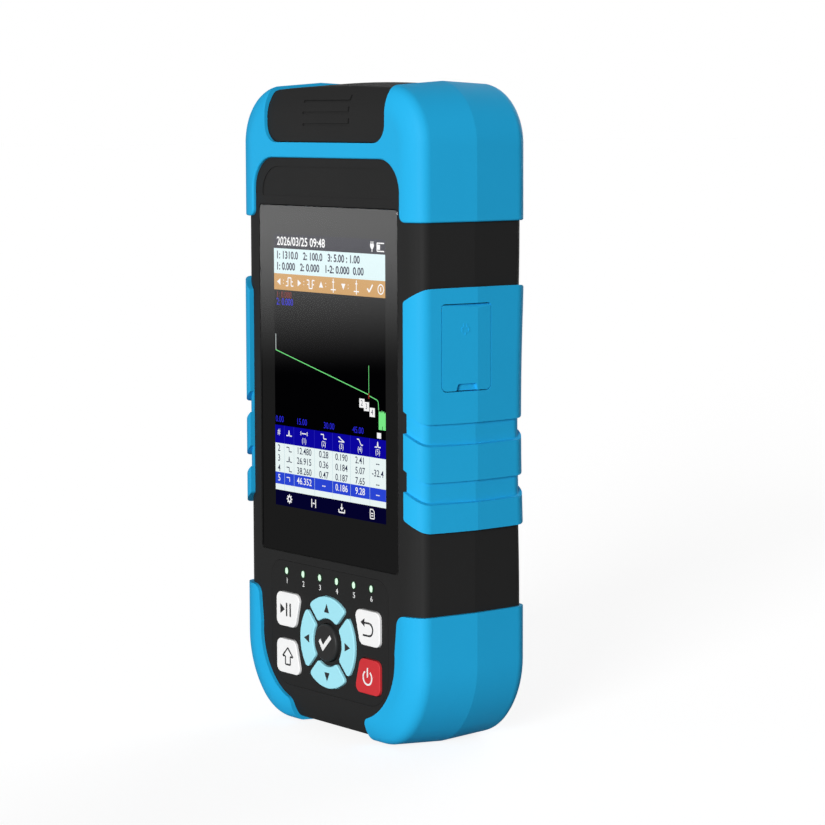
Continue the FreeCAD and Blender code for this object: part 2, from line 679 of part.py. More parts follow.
def pad_sector(turn, grow, y, depth):
    """Direction key: a quarter of the pad's ring, turned by turn degrees from the top."""
    centre = V(0, y, PAD_Z)
    along = V(0, depth, 0)
    ring = rod(PAD_OUTER_R + grow, centre, along).cut(rod(PAD_INNER_R - grow, centre, along))
    reach = 2 * PAD_OUTER_R
    corner = (PAD_SLOT / 2 - grow) * math.sqrt(2)
    wedge = Part.Face(Part.makePolygon([V(0, y, PAD_Z + corner), V(reach, y, PAD_Z + corner + reach),
                                        V(-reach, y, PAD_Z + corner + reach), V(0, y, PAD_Z + corner)]))
    key = one(ring.common(wedge.extrude(along)))
    upright = [e for e in key.Edges if abs(e.BoundBox.YLength - depth) < 1e-3 and e.Length < depth + 0.01]
    key = key.makeFillet(PAD_CORNER_R + grow, upright)
    key.rotate(V(0, y, PAD_Z), V(0, -1, 0), turn)
    return key


def key_outline(name, grow, y, depth):
    """Front-view shape of a key, as a prism that stands on plane y."""
    if name in CORNER_KEYS:
        side, level = CORNER_KEYS[name]
        return corner_key_outline(side, level, grow, y, depth)
    if name in PAD_KEYS:
        return pad_sector(PAD_KEYS[name], grow, y, depth)
    return rod(OK_R + grow, V(0, y, PAD_Z), V(0, depth, 0))


def key(name):
    """Key cap with a flange that stops it behind the panel."""
    proud = OK_PROUD if name == OK_KEY else KEY_PROUD
    edge_r = OK_EDGE_R if name == OK_KEY else KEY_EDGE_R
    front = FRONT_Y - proud
    flange_y = FRONT_Y + PANEL_T + KEY_PLAY
    cap = key_outline(name, 0, front, flange_y - front + KEY_FLANGE_T / 2)
    cap = cap.makeFillet(edge_r, edges_in_plane(cap, front))
    flange = key_outline(name, KEY_FLANGE, flange_y, KEY_FLANGE_T)
    return one(cap.fuse(flange))


def led_places():
    first = -(LED_COUNT - 1) / 2 * LED_PITCH
    return [V(first + i * LED_PITCH, FRONT_Y, LED_Z) for i in range(LED_COUNT)]


def keypad_panel():
    """Panel with an opening for each key and each light pipe."""
    panel = panel_plate(-FIT_GAP, FRONT_Y, PANEL_T)
    for name in KEY_NAMES:
        panel = panel.cut(key_outline(name, KEY_GAP, FRONT_Y - 1, PANEL_T + 2))
    for place in led_places():
        panel = panel.cut(rod(LED_R, place - V(0, 1, 0), V(0, PANEL_T + 2, 0)))
    return one(panel)


def key_membrane():
    return one(panel_plate(-KEY_BOARD_RIM, WALL_Y, MEMBRANE_T))


def key_board():
    return one(panel_plate(-KEY_BOARD_RIM, WALL_Y + MEMBRANE_T, KEY_BOARD_T))


def status_lenses():
    """Round light pipes from the key membrane to just above the panel."""
    lenses = []
    for place in led_places():
        start = place - V(0, LED_PROUD, 0)
        pipe = rod(LED_R, start, V(0, FRONT_WALL + LED_PROUD, 0))
        lenses.append(pipe.makeChamfer(LED_PROUD, edges_in_plane(pipe, start.y)))
    return Part.makeCompound(lenses)


def display_window():
    plate = window_plate(-FIT_GAP, FRONT_Y, WINDOW_T)
    return one(plate.makeChamfer(WINDOW_BEVEL, edges_in_plane(plate, FRONT_Y)))


def window_gasket():
    """Foam frame between the window and the screen's surround."""
    outer = screen_plate(GASKET_WIDTH + FIT_GAP, FRONT_Y + WINDOW_T, GASKET_T)
    return one(outer.cut(screen_plate(FIT_GAP, FRONT_Y + WINDOW_T - 1, GASKET_T + 2)))


def display_module():
    """Screen with its backing tray behind the front wall and its picture area just behind the window."""
    front = FRONT_Y + WINDOW_T + FIT_GAP / 2
    face = screen_plate(0, front, WALL_Y - front)
    tray = screen_plate(MODULE_BORDER, WALL_Y, MODULE_T)
    return one(face.fuse(tray))


# ---------------------------------------------------------------- housing
def seal_cord():
    """Seal in the parting plane, let into both halves; it stops at the port bay and at the flap."""
    start = PARTING_Y - SEAL_T / 2
    outer = Part.Face(outline(-SEAL_INSET, start)).extrude(V(0, SEAL_T, 0))
    inner = Part.Face(outline(-SEAL_INSET - SEAL_WIDTH, start)).extrude(V(0, SEAL_T, 0))
    return outer.cut(inner).cut(bay_tool()).cut(flap_tool(SEAL_WIDTH))


def case_seal():
    return Part.makeCompound(seal_cord().Solids)


def shell_screw_places():
    heights = (SHELL_SCREW_FOOT, CROWN_Z - SHELL_SCREW_DROP)
    return [V(side * SHELL_SCREW_X, 0, z) for side in (-1, 1) for z in heights]


def header_field():
    """Shallow field above the display, where the instrument's name would go."""
    half = ARCH_HALF_WIDTH - HEADER_INSET
    top = ARCH_TOP_Z - HEADER_TOP_INSET
    top_r = ARCH_R - HEADER_INSET / 2
    corners = [(-half, HEADER_LOW_Z, HEADER_BASE_R), (half, HEADER_LOW_Z, HEADER_BASE_R),
               (half, top, top_r), (-half, top, top_r)]
    return rounded(corners, FRONT_Y - 1, HEADER_SINK + 1)


def board_posts():
    x = BOARD_HALF_WIDTH - POST_INSET
    heights = (PANEL_HIGH_Z + POST_ABOVE_PANEL, BOARD_HIGH_Z - POST_INSET)
    return [V(side * x, 0, z) for side in (-1, 1) for z in heights]


def socket_window():
    """Opening in the side wall behind the flap, inside the ledge that the flap closes on."""
    y0 = FLAP_FRONT_Y + SOCKET_WINDOW
    y1 = FLAP_REAR_Y - SOCKET_WINDOW
    z0 = FLAP_LOW_Z + SOCKET_WINDOW
    z1 = FLAP_AXIS.z - SOCKET_WINDOW - 1
    r = SOCKET_WINDOW_R
    return sideways([(y0, z0, r), (y1, z0, r), (y1, z1, r), (y0, z1, r)], HALF - 8, HALF + 5)


def flap_pocket():
    """Room for the flap in the side of the case, with relief for its knuckle."""
    deep = form(GRIP_GROOVE_T, False).cut(form(GRIP_T - FLAP_T - RUN_GAP))
    pocket = deep.common(flap_tool(RUN_GAP))
    relief = rod(FLAP_AXIS_IN + RUN_GAP, V(FLAP_AXIS.x, FLAP_FRONT_Y - RUN_GAP, FLAP_AXIS.z),
                 V(0, FLAP_REAR_Y - FLAP_FRONT_Y + 2 * RUN_GAP, 0))
    return pocket.fuse(relief).fuse(socket_window())


def flap_pin(gap=0.0):
    """Hinge pin of the flap, held in the grip and case at both ends."""
    bite = FLAP_PIN_BITE + gap
    return rod(FLAP_PIN_R + gap, V(FLAP_AXIS.x, FLAP_FRONT_Y - bite, FLAP_AXIS.z),
               V(0, FLAP_REAR_Y - FLAP_FRONT_Y + 2 * bite, 0))


def front_case():
    """Front half of the housing, with its pockets, bosses and posts."""
    hollow = front_half(-WALL, False).common(box(-FAR, FAR, WALL_Y, FAR, -FAR, FAR))
    for place in shell_screw_places():
        hollow = hollow.cut(rod(BOSS_R, V(place.x, FRONT_Y, place.z), V(0, BODY_DEPTH, 0)))
    for place in board_posts():
        hollow = hollow.cut(rod(POST_R, V(place.x, FRONT_Y, place.z), V(0, BOARD_Y - FRONT_Y, 0)))
    case = front_half(0).cut(hollow)
    case = case.cut(window_plate(0, FRONT_Y - 1, WINDOW_T + 1))
    case = case.cut(screen_plate(GASKET_WIDTH + 2 * FIT_GAP, FRONT_Y, WINDOW_T + GASKET_T))
    case = case.cut(screen_plate(FIT_GAP, FRONT_Y, FRONT_WALL + 1))
    case = case.cut(panel_plate(0, FRONT_Y - 1, PANEL_T + 1))
    case = case.cut(panel_plate(-PANEL_RIM, FRONT_Y, FRONT_WALL + 1))
    case = case.cut(header_field())
    for place in shell_screw_places():
        case = case.cut(rod(SCREW_R, V(place.x, PARTING_Y - SCREW_BITE, place.z), V(0, BODY_DEPTH, 0)))
    case = case.cut(seal_cord()).cut(bay_tool()).cut(flap_pocket()).cut(flap_pin())
    return one(case)


def battery_prism(grow, y, depth):
    half = BATTERY_WIDTH / 2 + grow
    return slab(-half, half, BATTERY_LOW_Z - grow, BATTERY_HIGH_Z + grow, y, depth, BATTERY_R + grow)


def cover_prism(gap, y, depth):
    half = BATTERY_WIDTH / 2 + COVER_LAP + gap
    low = BATTERY_LOW_Z - COVER_LAP - gap
    high = BATTERY_HIGH_Z + COVER_LAP + gap
    corners = [(-half, low, COVER_BASE_R), (half, low, COVER_BASE_R),
               (half, high, COVER_R), (-half, high, COVER_R)]
    return rounded(corners, y, depth)


def stand_prism(gap, y, depth):
    half = STAND_HALF_WIDTH + gap
    low = STAND_LOW_Z - gap
    high = STAND_HIGH_Z + gap
    corners = [(-half, low, STAND_R), (half, low, STAND_R), (half, high, 0), (-half, high, 0)]
    return rounded(corners, y, depth)


def cover_screw_places():
    return [V(side * COVER_SCREW_X, 0, BATTERY_HIGH_Z + COVER_LAP / 2) for side in (-1, 1)]


def stand_pin(gap=0.0):
    reach = STAND_HALF_WIDTH + STAND_PIN_BITE + gap
    return rod(STAND_PIN_R + gap, STAND_AXIS - V(reach, 0, 0), V(2 * reach, 0, 0))


def rear_case():
    """Rear half of the housing: battery bay, seat of the stand, bosses and screw holes."""
    stand_floor = STAND_FACE_Y - STAND_T - RUN_GAP
    seat_half = STAND_HALF_WIDTH + STAND_PIN_BITE + STAND_PIN_WALL
    kept = [
        battery_prism(RUN_GAP + TUB_WALL, TUB_FLOOR_Y - TUB_WALL, BODY_DEPTH),
        cover_prism(FIT_GAP + TUB_WALL, COVER_SEAT_Y - TUB_WALL, BODY_DEPTH),
        slab(-seat_half, seat_half, STAND_LOW_Z - STAND_GRIP_R - 1, STAND_HIGH_Z + 2 * WALL,
             stand_floor - WALL, BODY_DEPTH, 3),
    ]
    for place in shell_screw_places():
        kept.append(rod(BOSS_R, V(place.x, PARTING_Y, place.z), V(0, BODY_DEPTH, 0)))
    hollow = rear_half(-WALL, False)
    for piece in kept:
        hollow = hollow.cut(piece)
    case = rear_half(0).cut(hollow)
    case = case.cut(battery_prism(RUN_GAP, TUB_FLOOR_Y, BODY_DEPTH))
    case = case.cut(cover_prism(FIT_GAP, COVER_SEAT_Y, BODY_DEPTH))
    case = case.cut(stand_prism(RUN_GAP, stand_floor, BODY_DEPTH))
    case = case.cut(stand_pin())
    dish_y = STAND_FACE_Y + STAND_GRIP_R * STAND_GRIP_LIFT
    case = case.cut(Part.makeSphere(STAND_GRIP_R, V(0, dish_y, STAND_LOW_Z)))
    for place in shell_screw_places():
        case = case.cut(rod(SCREW_R + FIT_GAP, V(place.x, PARTING_Y - 1, place.z), V(0, BODY_DEPTH, 0)))
        case = case.cut(rod(SCREW_HEAD_R + RUN_GAP, V(place.x, SCREW_SEAT_Y, place.z), V(0, BODY_DEPTH, 0)))
    for place in cover_screw_places():
        start = V(place.x, COVER_SEAT_Y - COVER_SCREW_LENGTH, place.z)
        case = case.cut(rod(COVER_SCREW_R, start, V(0, BODY_DEPTH, 0)))
    case = case.cut(seal_cord()).cut(bay_tool()).cut(flap_pocket()).cut(flap_pin())
    return one(case)


def cap_screw(place, seat_y, head_r, head_t, shank_r, length, socket_r):
    """Screw along -Y with a hexagon socket; its head sits on plane seat_y."""
    seat = V(place.x, seat_y, place.z)
    shank = rod(shank_r, seat, V(0, -length, 0))
    head = rod(head_r, seat, V(0, head_t, 0))
    head = head.makeChamfer(head_t * SCREW_BEVEL, edges_in_plane(head, seat_y + head_t))
    turns = [math.radians(60 * i) for i in range(6)]
    corners = [(place.x + socket_r * math.cos(a), place.z + socket_r * math.sin(a), 0) for a in turns]
    socket = rounded(corners, seat_y + head_t * SCREW_SOCKET_FLOOR, head_t)
    return one(shank.fuse(head).cut(socket))


def case_screws():
    length = SCREW_SEAT_Y - (PARTING_Y - SCREW_BITE) - FIT_GAP
    sizes = (SCREW_SEAT_Y, SCREW_HEAD_R, SCREW_HEAD_T, SCREW_R, length, SCREW_SOCKET_R)
    return Part.makeCompound([cap_screw(place, *sizes) for place in shell_screw_places()])


def battery_cover():
    """Cover flush with the rear face, with seats for its screws and three thumb grooves."""
    cover = rear_half(0).common(cover_prism(0, COVER_SEAT_Y, BODY_DEPTH))
    for place in cover_screw_places():
        hole = rod(COVER_SCREW_R + FIT_GAP, V(place.x, 0, place.z), V(0, BODY_DEPTH, 0))
        seat = V(place.x, COVER_SCREW_SEAT_Y, place.z)
        cover = cover.cut(hole).cut(rod(COVER_SCREW_HEAD_R + FIT_GAP, seat, V(0, BODY_DEPTH, 0)))
    for i in range(COVER_RIB_COUNT):
        z = BATTERY_LOW_Z + COVER_RIB_RISE + i * COVER_RIB_PITCH
        cover = cover.cut(box(-COVER_RIB_HALF_WIDTH, COVER_RIB_HALF_WIDTH, REAR_Y - COVER_RIB_D, REAR_Y + 1,
                              z, z + COVER_RIB_W))
    return one(cover)


def battery_cover_screws():
    length = COVER_SCREW_SEAT_Y - (COVER_SEAT_Y - COVER_SCREW_LENGTH) - FIT_GAP
    sizes = (COVER_SCREW_SEAT_Y, COVER_SCREW_HEAD_R, COVER_SCREW_R, COVER_SCREW_R, length, COVER_SOCKET_R)
    return Part.makeCompound([cap_screw(place, *sizes) for place in cover_screw_places()])


def battery_pack():
    pack = battery_prism(0, TUB_FLOOR_Y, BATTERY_T)
    rims = edges_in_plane(pack, TUB_FLOOR_Y) + edges_in_plane(pack, TUB_FLOOR_Y + BATTERY_T)
    return one(pack.makeChamfer(BATTERY_BEVEL, rims))


def main_board():
    half = BOARD_HALF_WIDTH
    return one(slab(-half, half, BOARD_LOW_Z, BOARD_HIGH_Z, BOARD_Y, BOARD_T, BOARD_R))


def optics_module():
    """Shielded optical module on the back of the main board."""
    half = OPTICS_WIDTH / 2
    top = BOARD_HIGH_Z - OPTICS_DROP
    back = BOARD_Y + BOARD_T
    body = slab(-half, half, top - OPTICS_HEIGHT, top, back, OPTICS_T, BOARD_R)
    return one(body.makeChamfer(OPTICS_BEVEL, edges_in_plane(body, back + OPTICS_T)))


# ---------------------------------------------------------------- port bay
def cavity():
    """Room inside the closed housing."""
    inside = front_half(-WALL, False).common(box(-FAR, FAR, WALL_Y, FAR, -FAR, FAR))
    return one(inside.fuse(rear_half(-WALL, False)))


def lug_spans(gap=0.0):
    half = LID_LUG_W / 2 + gap
    return [(side * LID_LUG_X - half, side * LID_LUG_X + half) for side in (-1, 1)]


def port_places():
    return [V(x, PORT_Y, PORT_FLOOR_Z) for x in PORT_XS]


def port_block():
    """Moulded tray that lines the bay: a floor for the optical ports and two lugs for the lid's hinge."""
    lap = box(-BAY_HALF_WIDTH - BLOCK_LAP, BAY_HALF_WIDTH + BLOCK_LAP, -FAR, BAY_REAR_Y + BLOCK_LAP,
              BAY_LOW_Z - BLOCK_LAP, FAR)
    under_floor = box(-FAR, FAR, -FAR, FAR, BAY_LOW_Z, PORT_FLOOR_Z)
    over_floor = box(-FAR, FAR, -FAR, FAR, PORT_FLOOR_Z, FAR)
    floor = form(-LID_T - RUN_GAP).common(bay_tool()).common(under_floor)
    lining = cavity().common(lap).cut(bay_tool().common(over_floor))
    tray = lining.fuse(floor)
    for x0, x1 in lug_spans():
        foot = box(x0, x1, LID_AXIS.y - LID_KNUCKLE_R, BAY_REAR_Y, PORT_FLOOR_Z, LID_AXIS.z)
        tray = tray.fuse(foot).fuse(rod(LID_KNUCKLE_R, V(x0, LID_AXIS.y, LID_AXIS.z), V(x1 - x0, 0, 0)))
    return one(tray.cut(lid_pin()))


def upper_edges(solid, floor_z):
    return [e for e in solid.Edges if e.BoundBox.ZMin > floor_z + 1]


def optical_port(place):
    """Ferrule port: a flange on the bay's floor and a barrel with the sleeve bore."""
    flange = rod(PORT_FLANGE_R, place, V(0, 0, PORT_FLANGE_T))
    flange = flange.makeChamfer(PORT_FLANGE_BEVEL, upper_edges(flange, place.z))
    barrel = rod(PORT_BARREL_R, place, V(0, 0, PORT_HEIGHT))
    barrel = barrel.makeChamfer(PORT_BARREL_BEVEL, upper_edges(barrel, place.z))
    bore = rod(SLEEVE_BORE_R, place + V(0, 0, PORT_FLANGE_T), V(0, 0, PORT_HEIGHT))
    return one(flange.fuse(barrel).cut(bore))


def lid_pin(gap=0.0):
    reach = LID_BARREL_HALF + gap
    return rod(LID_PIN_R + gap, LID_AXIS - V(reach, 0, 0), V(2 * reach, 0, 0))


def lid_groove(z):
    """Engraved line of the lid: it follows the lid's surface and turns up at its right end."""
    end = LID_GROOVE_HALF_WIDTH
    along = box(-end, end, -FAR, 0, z, z + LID_GROOVE_W)
    hook = box(end - LID_GROOVE_W, end, -FAR, 0, z, z + LID_GROOVE_HOOK)
    return form(1).cut(form(-LID_GROOVE_D)).common(along.fuse(hook))


def port_cover():
    """Dust cover: wraps from the front face over the crown to a barrel hinge."""
    plate_end = LID_AXIS.y + LID_TAIL
    web = box(-LID_BARREL_HALF, LID_BARREL_HALF, LID_AXIS.y - LID_KNUCKLE_R,
              LID_AXIS.y + LID_KNUCKLE_R, LID_AXIS.z, FAR)
    block = form(0).common(bay_tool(RUN_GAP)).common(box(-FAR, FAR, -FAR, plate_end, BAY_LOW_Z, FAR))
    cover = block.cut(form(-LID_T).cut(web))
    cover = cover.fuse(rod(LID_KNUCKLE_R, LID_AXIS - V(LID_BARREL_HALF, 0, 0), V(2 * LID_BARREL_HALF, 0, 0)))
    room = LID_KNUCKLE_R + RUN_GAP
    for x0, x1 in lug_spans(RUN_GAP):
        cover = cover.cut(box(x0, x1, LID_AXIS.y - room, FAR, LID_AXIS.z - room, FAR))
    for i in range(LID_GROOVE_COUNT):
        cover = cover.cut(lid_groove(BAY_LOW_Z + LID_GROOVE_LOW + i * LID_GROOVE_PITCH))
    return largest(cover.cut(lid_pin(FIT_GAP / 2)))


# ---------------------------------------------------------------- side flap and sockets
def side_flap():
    """Rubber flap flush with the grip, rolled round its pin at the upper edge."""
    skin = form(GRIP_T).cut(form(GRIP_T - FLAP_T)).common(flap_tool())
    lower = box(-FAR, FAR, -FAR, FAR, -FAR, FLAP_AXIS.z)
    span = V(0, FLAP_REAR_Y - FLAP_FRONT_Y, 0)
    start = V(FLAP_AXIS.x, FLAP_FRONT_Y, FLAP_AXIS.z)
    roll = rod(FLAP_AXIS_IN, start, span).common(form(GRIP_T)).common(flap_tool())
    flap = skin.common(lower).fuse(roll)
    middle = (FLAP_FRONT_Y + FLAP_REAR_Y) / 2
    half = FLAP_NOTCH_W / 2
    mouth = half + FLAP_NOTCH_FLARE
    low = FLAP_LOW_Z - FLAP_NOTCH_FLARE
    top = FLAP_LOW_Z + FLAP_NOTCH_H
    notch = sideways([(middle - mouth, low, 0), (middle + mouth, low, 0),
                      (middle + half, top, FLAP_NOTCH_R), (middle - half, top, FLAP_NOTCH_R)], 0, FAR)
    notch = notch.cut(form(GRIP_T - FLAP_T / 2))
    return one(flap.cut(notch).cut(flap_pin(FIT_GAP / 2)))


def socket_block():
    """Moulded carrier of the two sockets, seated against the inside of the case wall."""
    lap = SOCKET_LAP
    room = box(SOCKET_BLOCK_X, FAR, FLAP_FRONT_Y + lap, FLAP_REAR_Y - lap,
               FLAP_LOW_Z + lap, FLAP_AXIS.z - lap)
    usb = usb_prism(0, SOCKET_MOUTH_X - USB_DEPTH, FAR)
    jack = rod(JACK_R, V(SOCKET_MOUTH_X - JACK_DEPTH, SOCKET_Y, JACK_Z), V(FAR, 0, 0))
    return one(cavity().common(room).cut(usb).cut(jack))


def usb_prism(inset, x0, x1):
    half_y = USB_H / 2 - inset
    half_z = USB_W / 2 - inset
    y0 = SOCKET_Y - half_y
    y1 = SOCKET_Y + half_y
    z0 = USB_Z - half_z
    z1 = USB_Z + half_z
    r = USB_ROUND * half_y
    return sideways([(y0, z0, r), (y1, z0, r), (y1, z1, r), (y0, z1, r)], x0, x1)


def usb_socket():
    """Data socket: a rounded steel shell round a flat tongue."""
    mouth = SOCKET_MOUTH_X + SOCKET_PROUD
    back = SOCKET_MOUTH_X - USB_DEPTH
    shell = usb_prism(0, back, mouth).cut(usb_prism(USB_SHELL, back + SOCKET_FLOOR, FAR))
    half_t = USB_TONGUE_T / 2
    half_w = USB_W / 2 - USB_TONGUE_INSET
    tongue = box(back, mouth - USB_TONGUE_INSET, SOCKET_Y - half_t, SOCKET_Y + half_t,
                 USB_Z - half_w, USB_Z + half_w)
    return one(shell.fuse(tongue))


def charging_socket():
    """Round charging socket with a centre pin."""
    back = SOCKET_MOUTH_X - JACK_DEPTH
    start = V(back, SOCKET_Y, JACK_Z)
    body = rod(JACK_R, start, V(JACK_DEPTH + SOCKET_PROUD, 0, 0))
    body = body.cut(rod(JACK_BORE_R, start + V(SOCKET_FLOOR, 0, 0), V(2 * JACK_DEPTH, 0, 0)))
    return one(body.fuse(rod(JACK_PIN_R, start, V(JACK_DEPTH - JACK_PIN_SHORT, 0, 0))))


# ---------------------------------------------------------------- tilt stand
def tilt_stand():
    """Folding stand, flush in the rear; its free edge drops over a finger dish."""
    face = STAND_FACE_Y
    plate = stand_prism(0, face - STAND_T, STAND_T)
    plate = plate.common(box(-FAR, FAR, -FAR, FAR, -FAR, STAND_AXIS.z))
    roll = rod(STAND_T / 2, STAND_AXIS - V(STAND_HALF_WIDTH, 0, 0), V(2 * STAND_HALF_WIDTH, 0, 0))
    middle = (STAND_LOW_Z + STAND_HIGH_Z) / 2
    half_w = STAND_SLOT_W / 2
    half_h = STAND_SLOT_H / 2
    slot = slab(-half_w, half_w, middle - half_h, middle + half_h, face - STAND_T - 1, STAND_T + 2,
                STAND_SLOT_R)
    return one(plate.fuse(roll).cut(slot).cut(stand_pin(FIT_GAP / 2)))


# ---------------------------------------------------------------- all nodes
def build():
    grip_blank = grip()
    foot = foot_bumper()
    ports = [optical_port(place) for place in port_places()]
    parts = {
        "front_case": front_case(),
        "rear_case": rear_case(),
        "case_seal": case_seal(),
        "case_screws": case_screws(),
        "top_bumper": top_bumper(),
        "foot_bumper_right": foot,
        "foot_bumper_left": mirrored(foot),
        "grip_left": mirrored(grip_blank),
        "grip_right": right_grip(grip_blank),
        "display_window": display_window(),
        "window_gasket": window_gasket(),
        "display_module": display_module(),
        "keypad_panel": keypad_panel(),
        "key_membrane": key_membrane(),
        "key_board": key_board(),
        "status_lenses": status_lenses(),
        "main_board": main_board(),
        "optics_module": optics_module(),
        "battery_pack": battery_pack(),
        "battery_cover": battery_cover(),
        "battery_cover_screws": battery_cover_screws(),
        "port_block": port_block(),
        "power_meter_port": ports[0],
        "otdr_port": ports[1],
        "fault_light_port": ports[2],
        "port_cover": port_cover(),
        "port_cover_pin": lid_pin(),
        "side_flap": side_flap(),
        "side_flap_pin": flap_pin(),
        "socket_block": socket_block(),
        "usb_socket": usb_socket(),
        "charging_socket": charging_socket(),
        "tilt_stand": tilt_stand(),
        "tilt_stand_pin": stand_pin(),
    }
    for name in KEY_NAMES:
        parts[name] = key(name)
    return parts


def export(parts):
    os.makedirs("parts", exist_ok=True)
    for name, shape in parts.items():
        shape.exportStep(f"parts/{name}.step")


if __name__ == "__main__":
    export(build())
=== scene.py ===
# Looks of the handheld optical time domain reflectometer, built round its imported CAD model.
# Lengths are in metres, except in drawings of prints and pictures, which are in millimetres until
# they are placed.  Figures face the viewer who stands in front of the display: x right, z up.
import json
import math

import bmesh
import bpy
from mathutils import Matrix, Vector


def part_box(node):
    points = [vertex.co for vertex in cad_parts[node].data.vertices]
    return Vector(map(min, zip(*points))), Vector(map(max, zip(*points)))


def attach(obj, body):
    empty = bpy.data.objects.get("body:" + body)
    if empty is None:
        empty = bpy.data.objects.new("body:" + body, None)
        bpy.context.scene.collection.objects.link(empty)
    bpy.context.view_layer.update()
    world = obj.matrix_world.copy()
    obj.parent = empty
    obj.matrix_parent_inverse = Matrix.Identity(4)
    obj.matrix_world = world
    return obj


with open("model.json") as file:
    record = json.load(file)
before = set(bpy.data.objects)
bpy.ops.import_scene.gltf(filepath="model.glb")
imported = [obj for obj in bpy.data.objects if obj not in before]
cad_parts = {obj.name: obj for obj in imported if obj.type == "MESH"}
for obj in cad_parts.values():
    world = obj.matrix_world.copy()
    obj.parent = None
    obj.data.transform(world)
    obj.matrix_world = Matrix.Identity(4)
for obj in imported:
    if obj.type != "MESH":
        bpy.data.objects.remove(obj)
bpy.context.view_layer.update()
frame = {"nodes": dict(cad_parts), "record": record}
MM = 0.001

# ---------------------------------------------------------------- places taken from the frame
CASE = "case"
PANEL_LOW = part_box("keypad_panel")[0]
GLASS_LOW, GLASS_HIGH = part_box("display_window")
MODULE_LOW, MODULE_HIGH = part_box("display_module")
LENS_LOW, LENS_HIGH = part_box("status_lenses")
MODULE_BORDER = 4.0                     # mm, tray of the display beyond its picture
SCREEN_LEFT = MODULE_LOW.x / MM + MODULE_BORDER
SCREEN_RIGHT = MODULE_HIGH.x / MM - MODULE_BORDER
SCREEN_BASE = MODULE_LOW.z / MM + MODULE_BORDER
SCREEN_TOP = MODULE_HIGH.z / MM - MODULE_BORDER
SCREEN_WIDTH = SCREEN_RIGHT - SCREEN_LEFT
SCREEN_HEIGHT = SCREEN_TOP - SCREEN_BASE

# Depths of the printed layers, in mm
LAYER = 0.012                           # a printed layer under the window
LAYER_STEP = 0.02                       # from one such layer to the next
LEGEND_PROUD = 0.03                     # a printed legend above its key
LEGEND_DEEP = 0.05

# Constants that several materials share
PATCH_MM = 16.0                         # slow changes of tone and gloss over a moulding
GLOSS_SPREAD = 0.04                     # of the roughness of plastics, up and down
METAL_GLOSS_SPREAD = 0.08
GRAIN_STRENGTH = 0.6
MARK_STRENGTH = 0.3
MARK_DEPTH_MM = 0.01
ACRYLIC_IOR = 1.49
LIGHT_PIPE_GLOW = 0.35


# ---------------------------------------------------------------- material helpers
def srgb(code):
    """Linear colour with alpha from an sRGB hex code."""
    values = [int(code[i:i + 2], 16) / 255 for i in (1, 3, 5)]
    linear = [v / 12.92 if v <= 0.04045 else ((v + 0.055) / 1.055) ** 2.4 for v in values]
    return (*linear, 1.0)


def shaded(code, factor):
    """The colour made lighter or darker by a factor."""
    red, green, blue, alpha = srgb(code)
    return (min(red * factor, 1), min(green * factor, 1), min(blue * factor, 1), alpha)


def per(size_mm):
    """Texture scale at which a pattern's cells have this size on Object coordinates."""
    return 1 / (size_mm * MM)


def add_node(tree, kind, settings=None, inputs=None):
    """One node with its settings, its socket values and the links into it."""
    made = tree.nodes.new(kind)
    for key, value in (settings or {}).items():
        setattr(made, key, value)
    for key, value in (inputs or {}).items():
        if isinstance(value, bpy.types.NodeSocket):
            tree.links.new(value, made.inputs[key])
        else:
            made.inputs[key].default_value = value
    return made


def new_material(name):
    made = bpy.data.materials.new(name)
    made.use_nodes = True
    made.node_tree.nodes.clear()
    return made, made.node_tree


def moulded(name, colour, roughness, grain_mm, grain_depth_mm, specular=0.5, mottle=0.04):
    """Moulded plastic or rubber: an even grain from the tool, and slow changes of tone and gloss."""
    made, tree = new_material(name)
    place = add_node(tree, "ShaderNodeTexCoord").outputs["Object"]
    grain = add_node(tree, "ShaderNodeTexNoise", inputs={
        "Vector": place, "Scale": per(grain_mm), "Detail": 2.0, "Roughness": 0.6})
    relief = add_node(tree, "ShaderNodeBump", inputs={
        "Height": grain.outputs["Fac"], "Strength": GRAIN_STRENGTH, "Distance": grain_depth_mm * MM})
    patches = add_node(tree, "ShaderNodeTexNoise", inputs={
        "Vector": place, "Scale": per(PATCH_MM), "Detail": 3.0, "Roughness": 0.5})
    tone = add_node(tree, "ShaderNodeMix", {"data_type": "RGBA"}, {
        "Factor": patches.outputs["Fac"], "A": shaded(colour, 1 - mottle), "B": shaded(colour, 1 + mottle)})
    gloss = add_node(tree, "ShaderNodeMapRange", inputs={
        "Value": patches.outputs["Fac"], "From Min": 0.3, "From Max": 0.7,
        "To Min": roughness - GLOSS_SPREAD, "To Max": roughness + GLOSS_SPREAD})
    surface = add_node(tree, "ShaderNodeBsdfPrincipled", inputs={
        "Base Color": tone.outputs["Result"], "Roughness": gloss.outputs["Result"],
        "Specular IOR Level": specular, "Normal": relief.outputs["Normal"]})
    add_node(tree, "ShaderNodeOutputMaterial", inputs={"Surface": surface.outputs["BSDF"]})
    return made


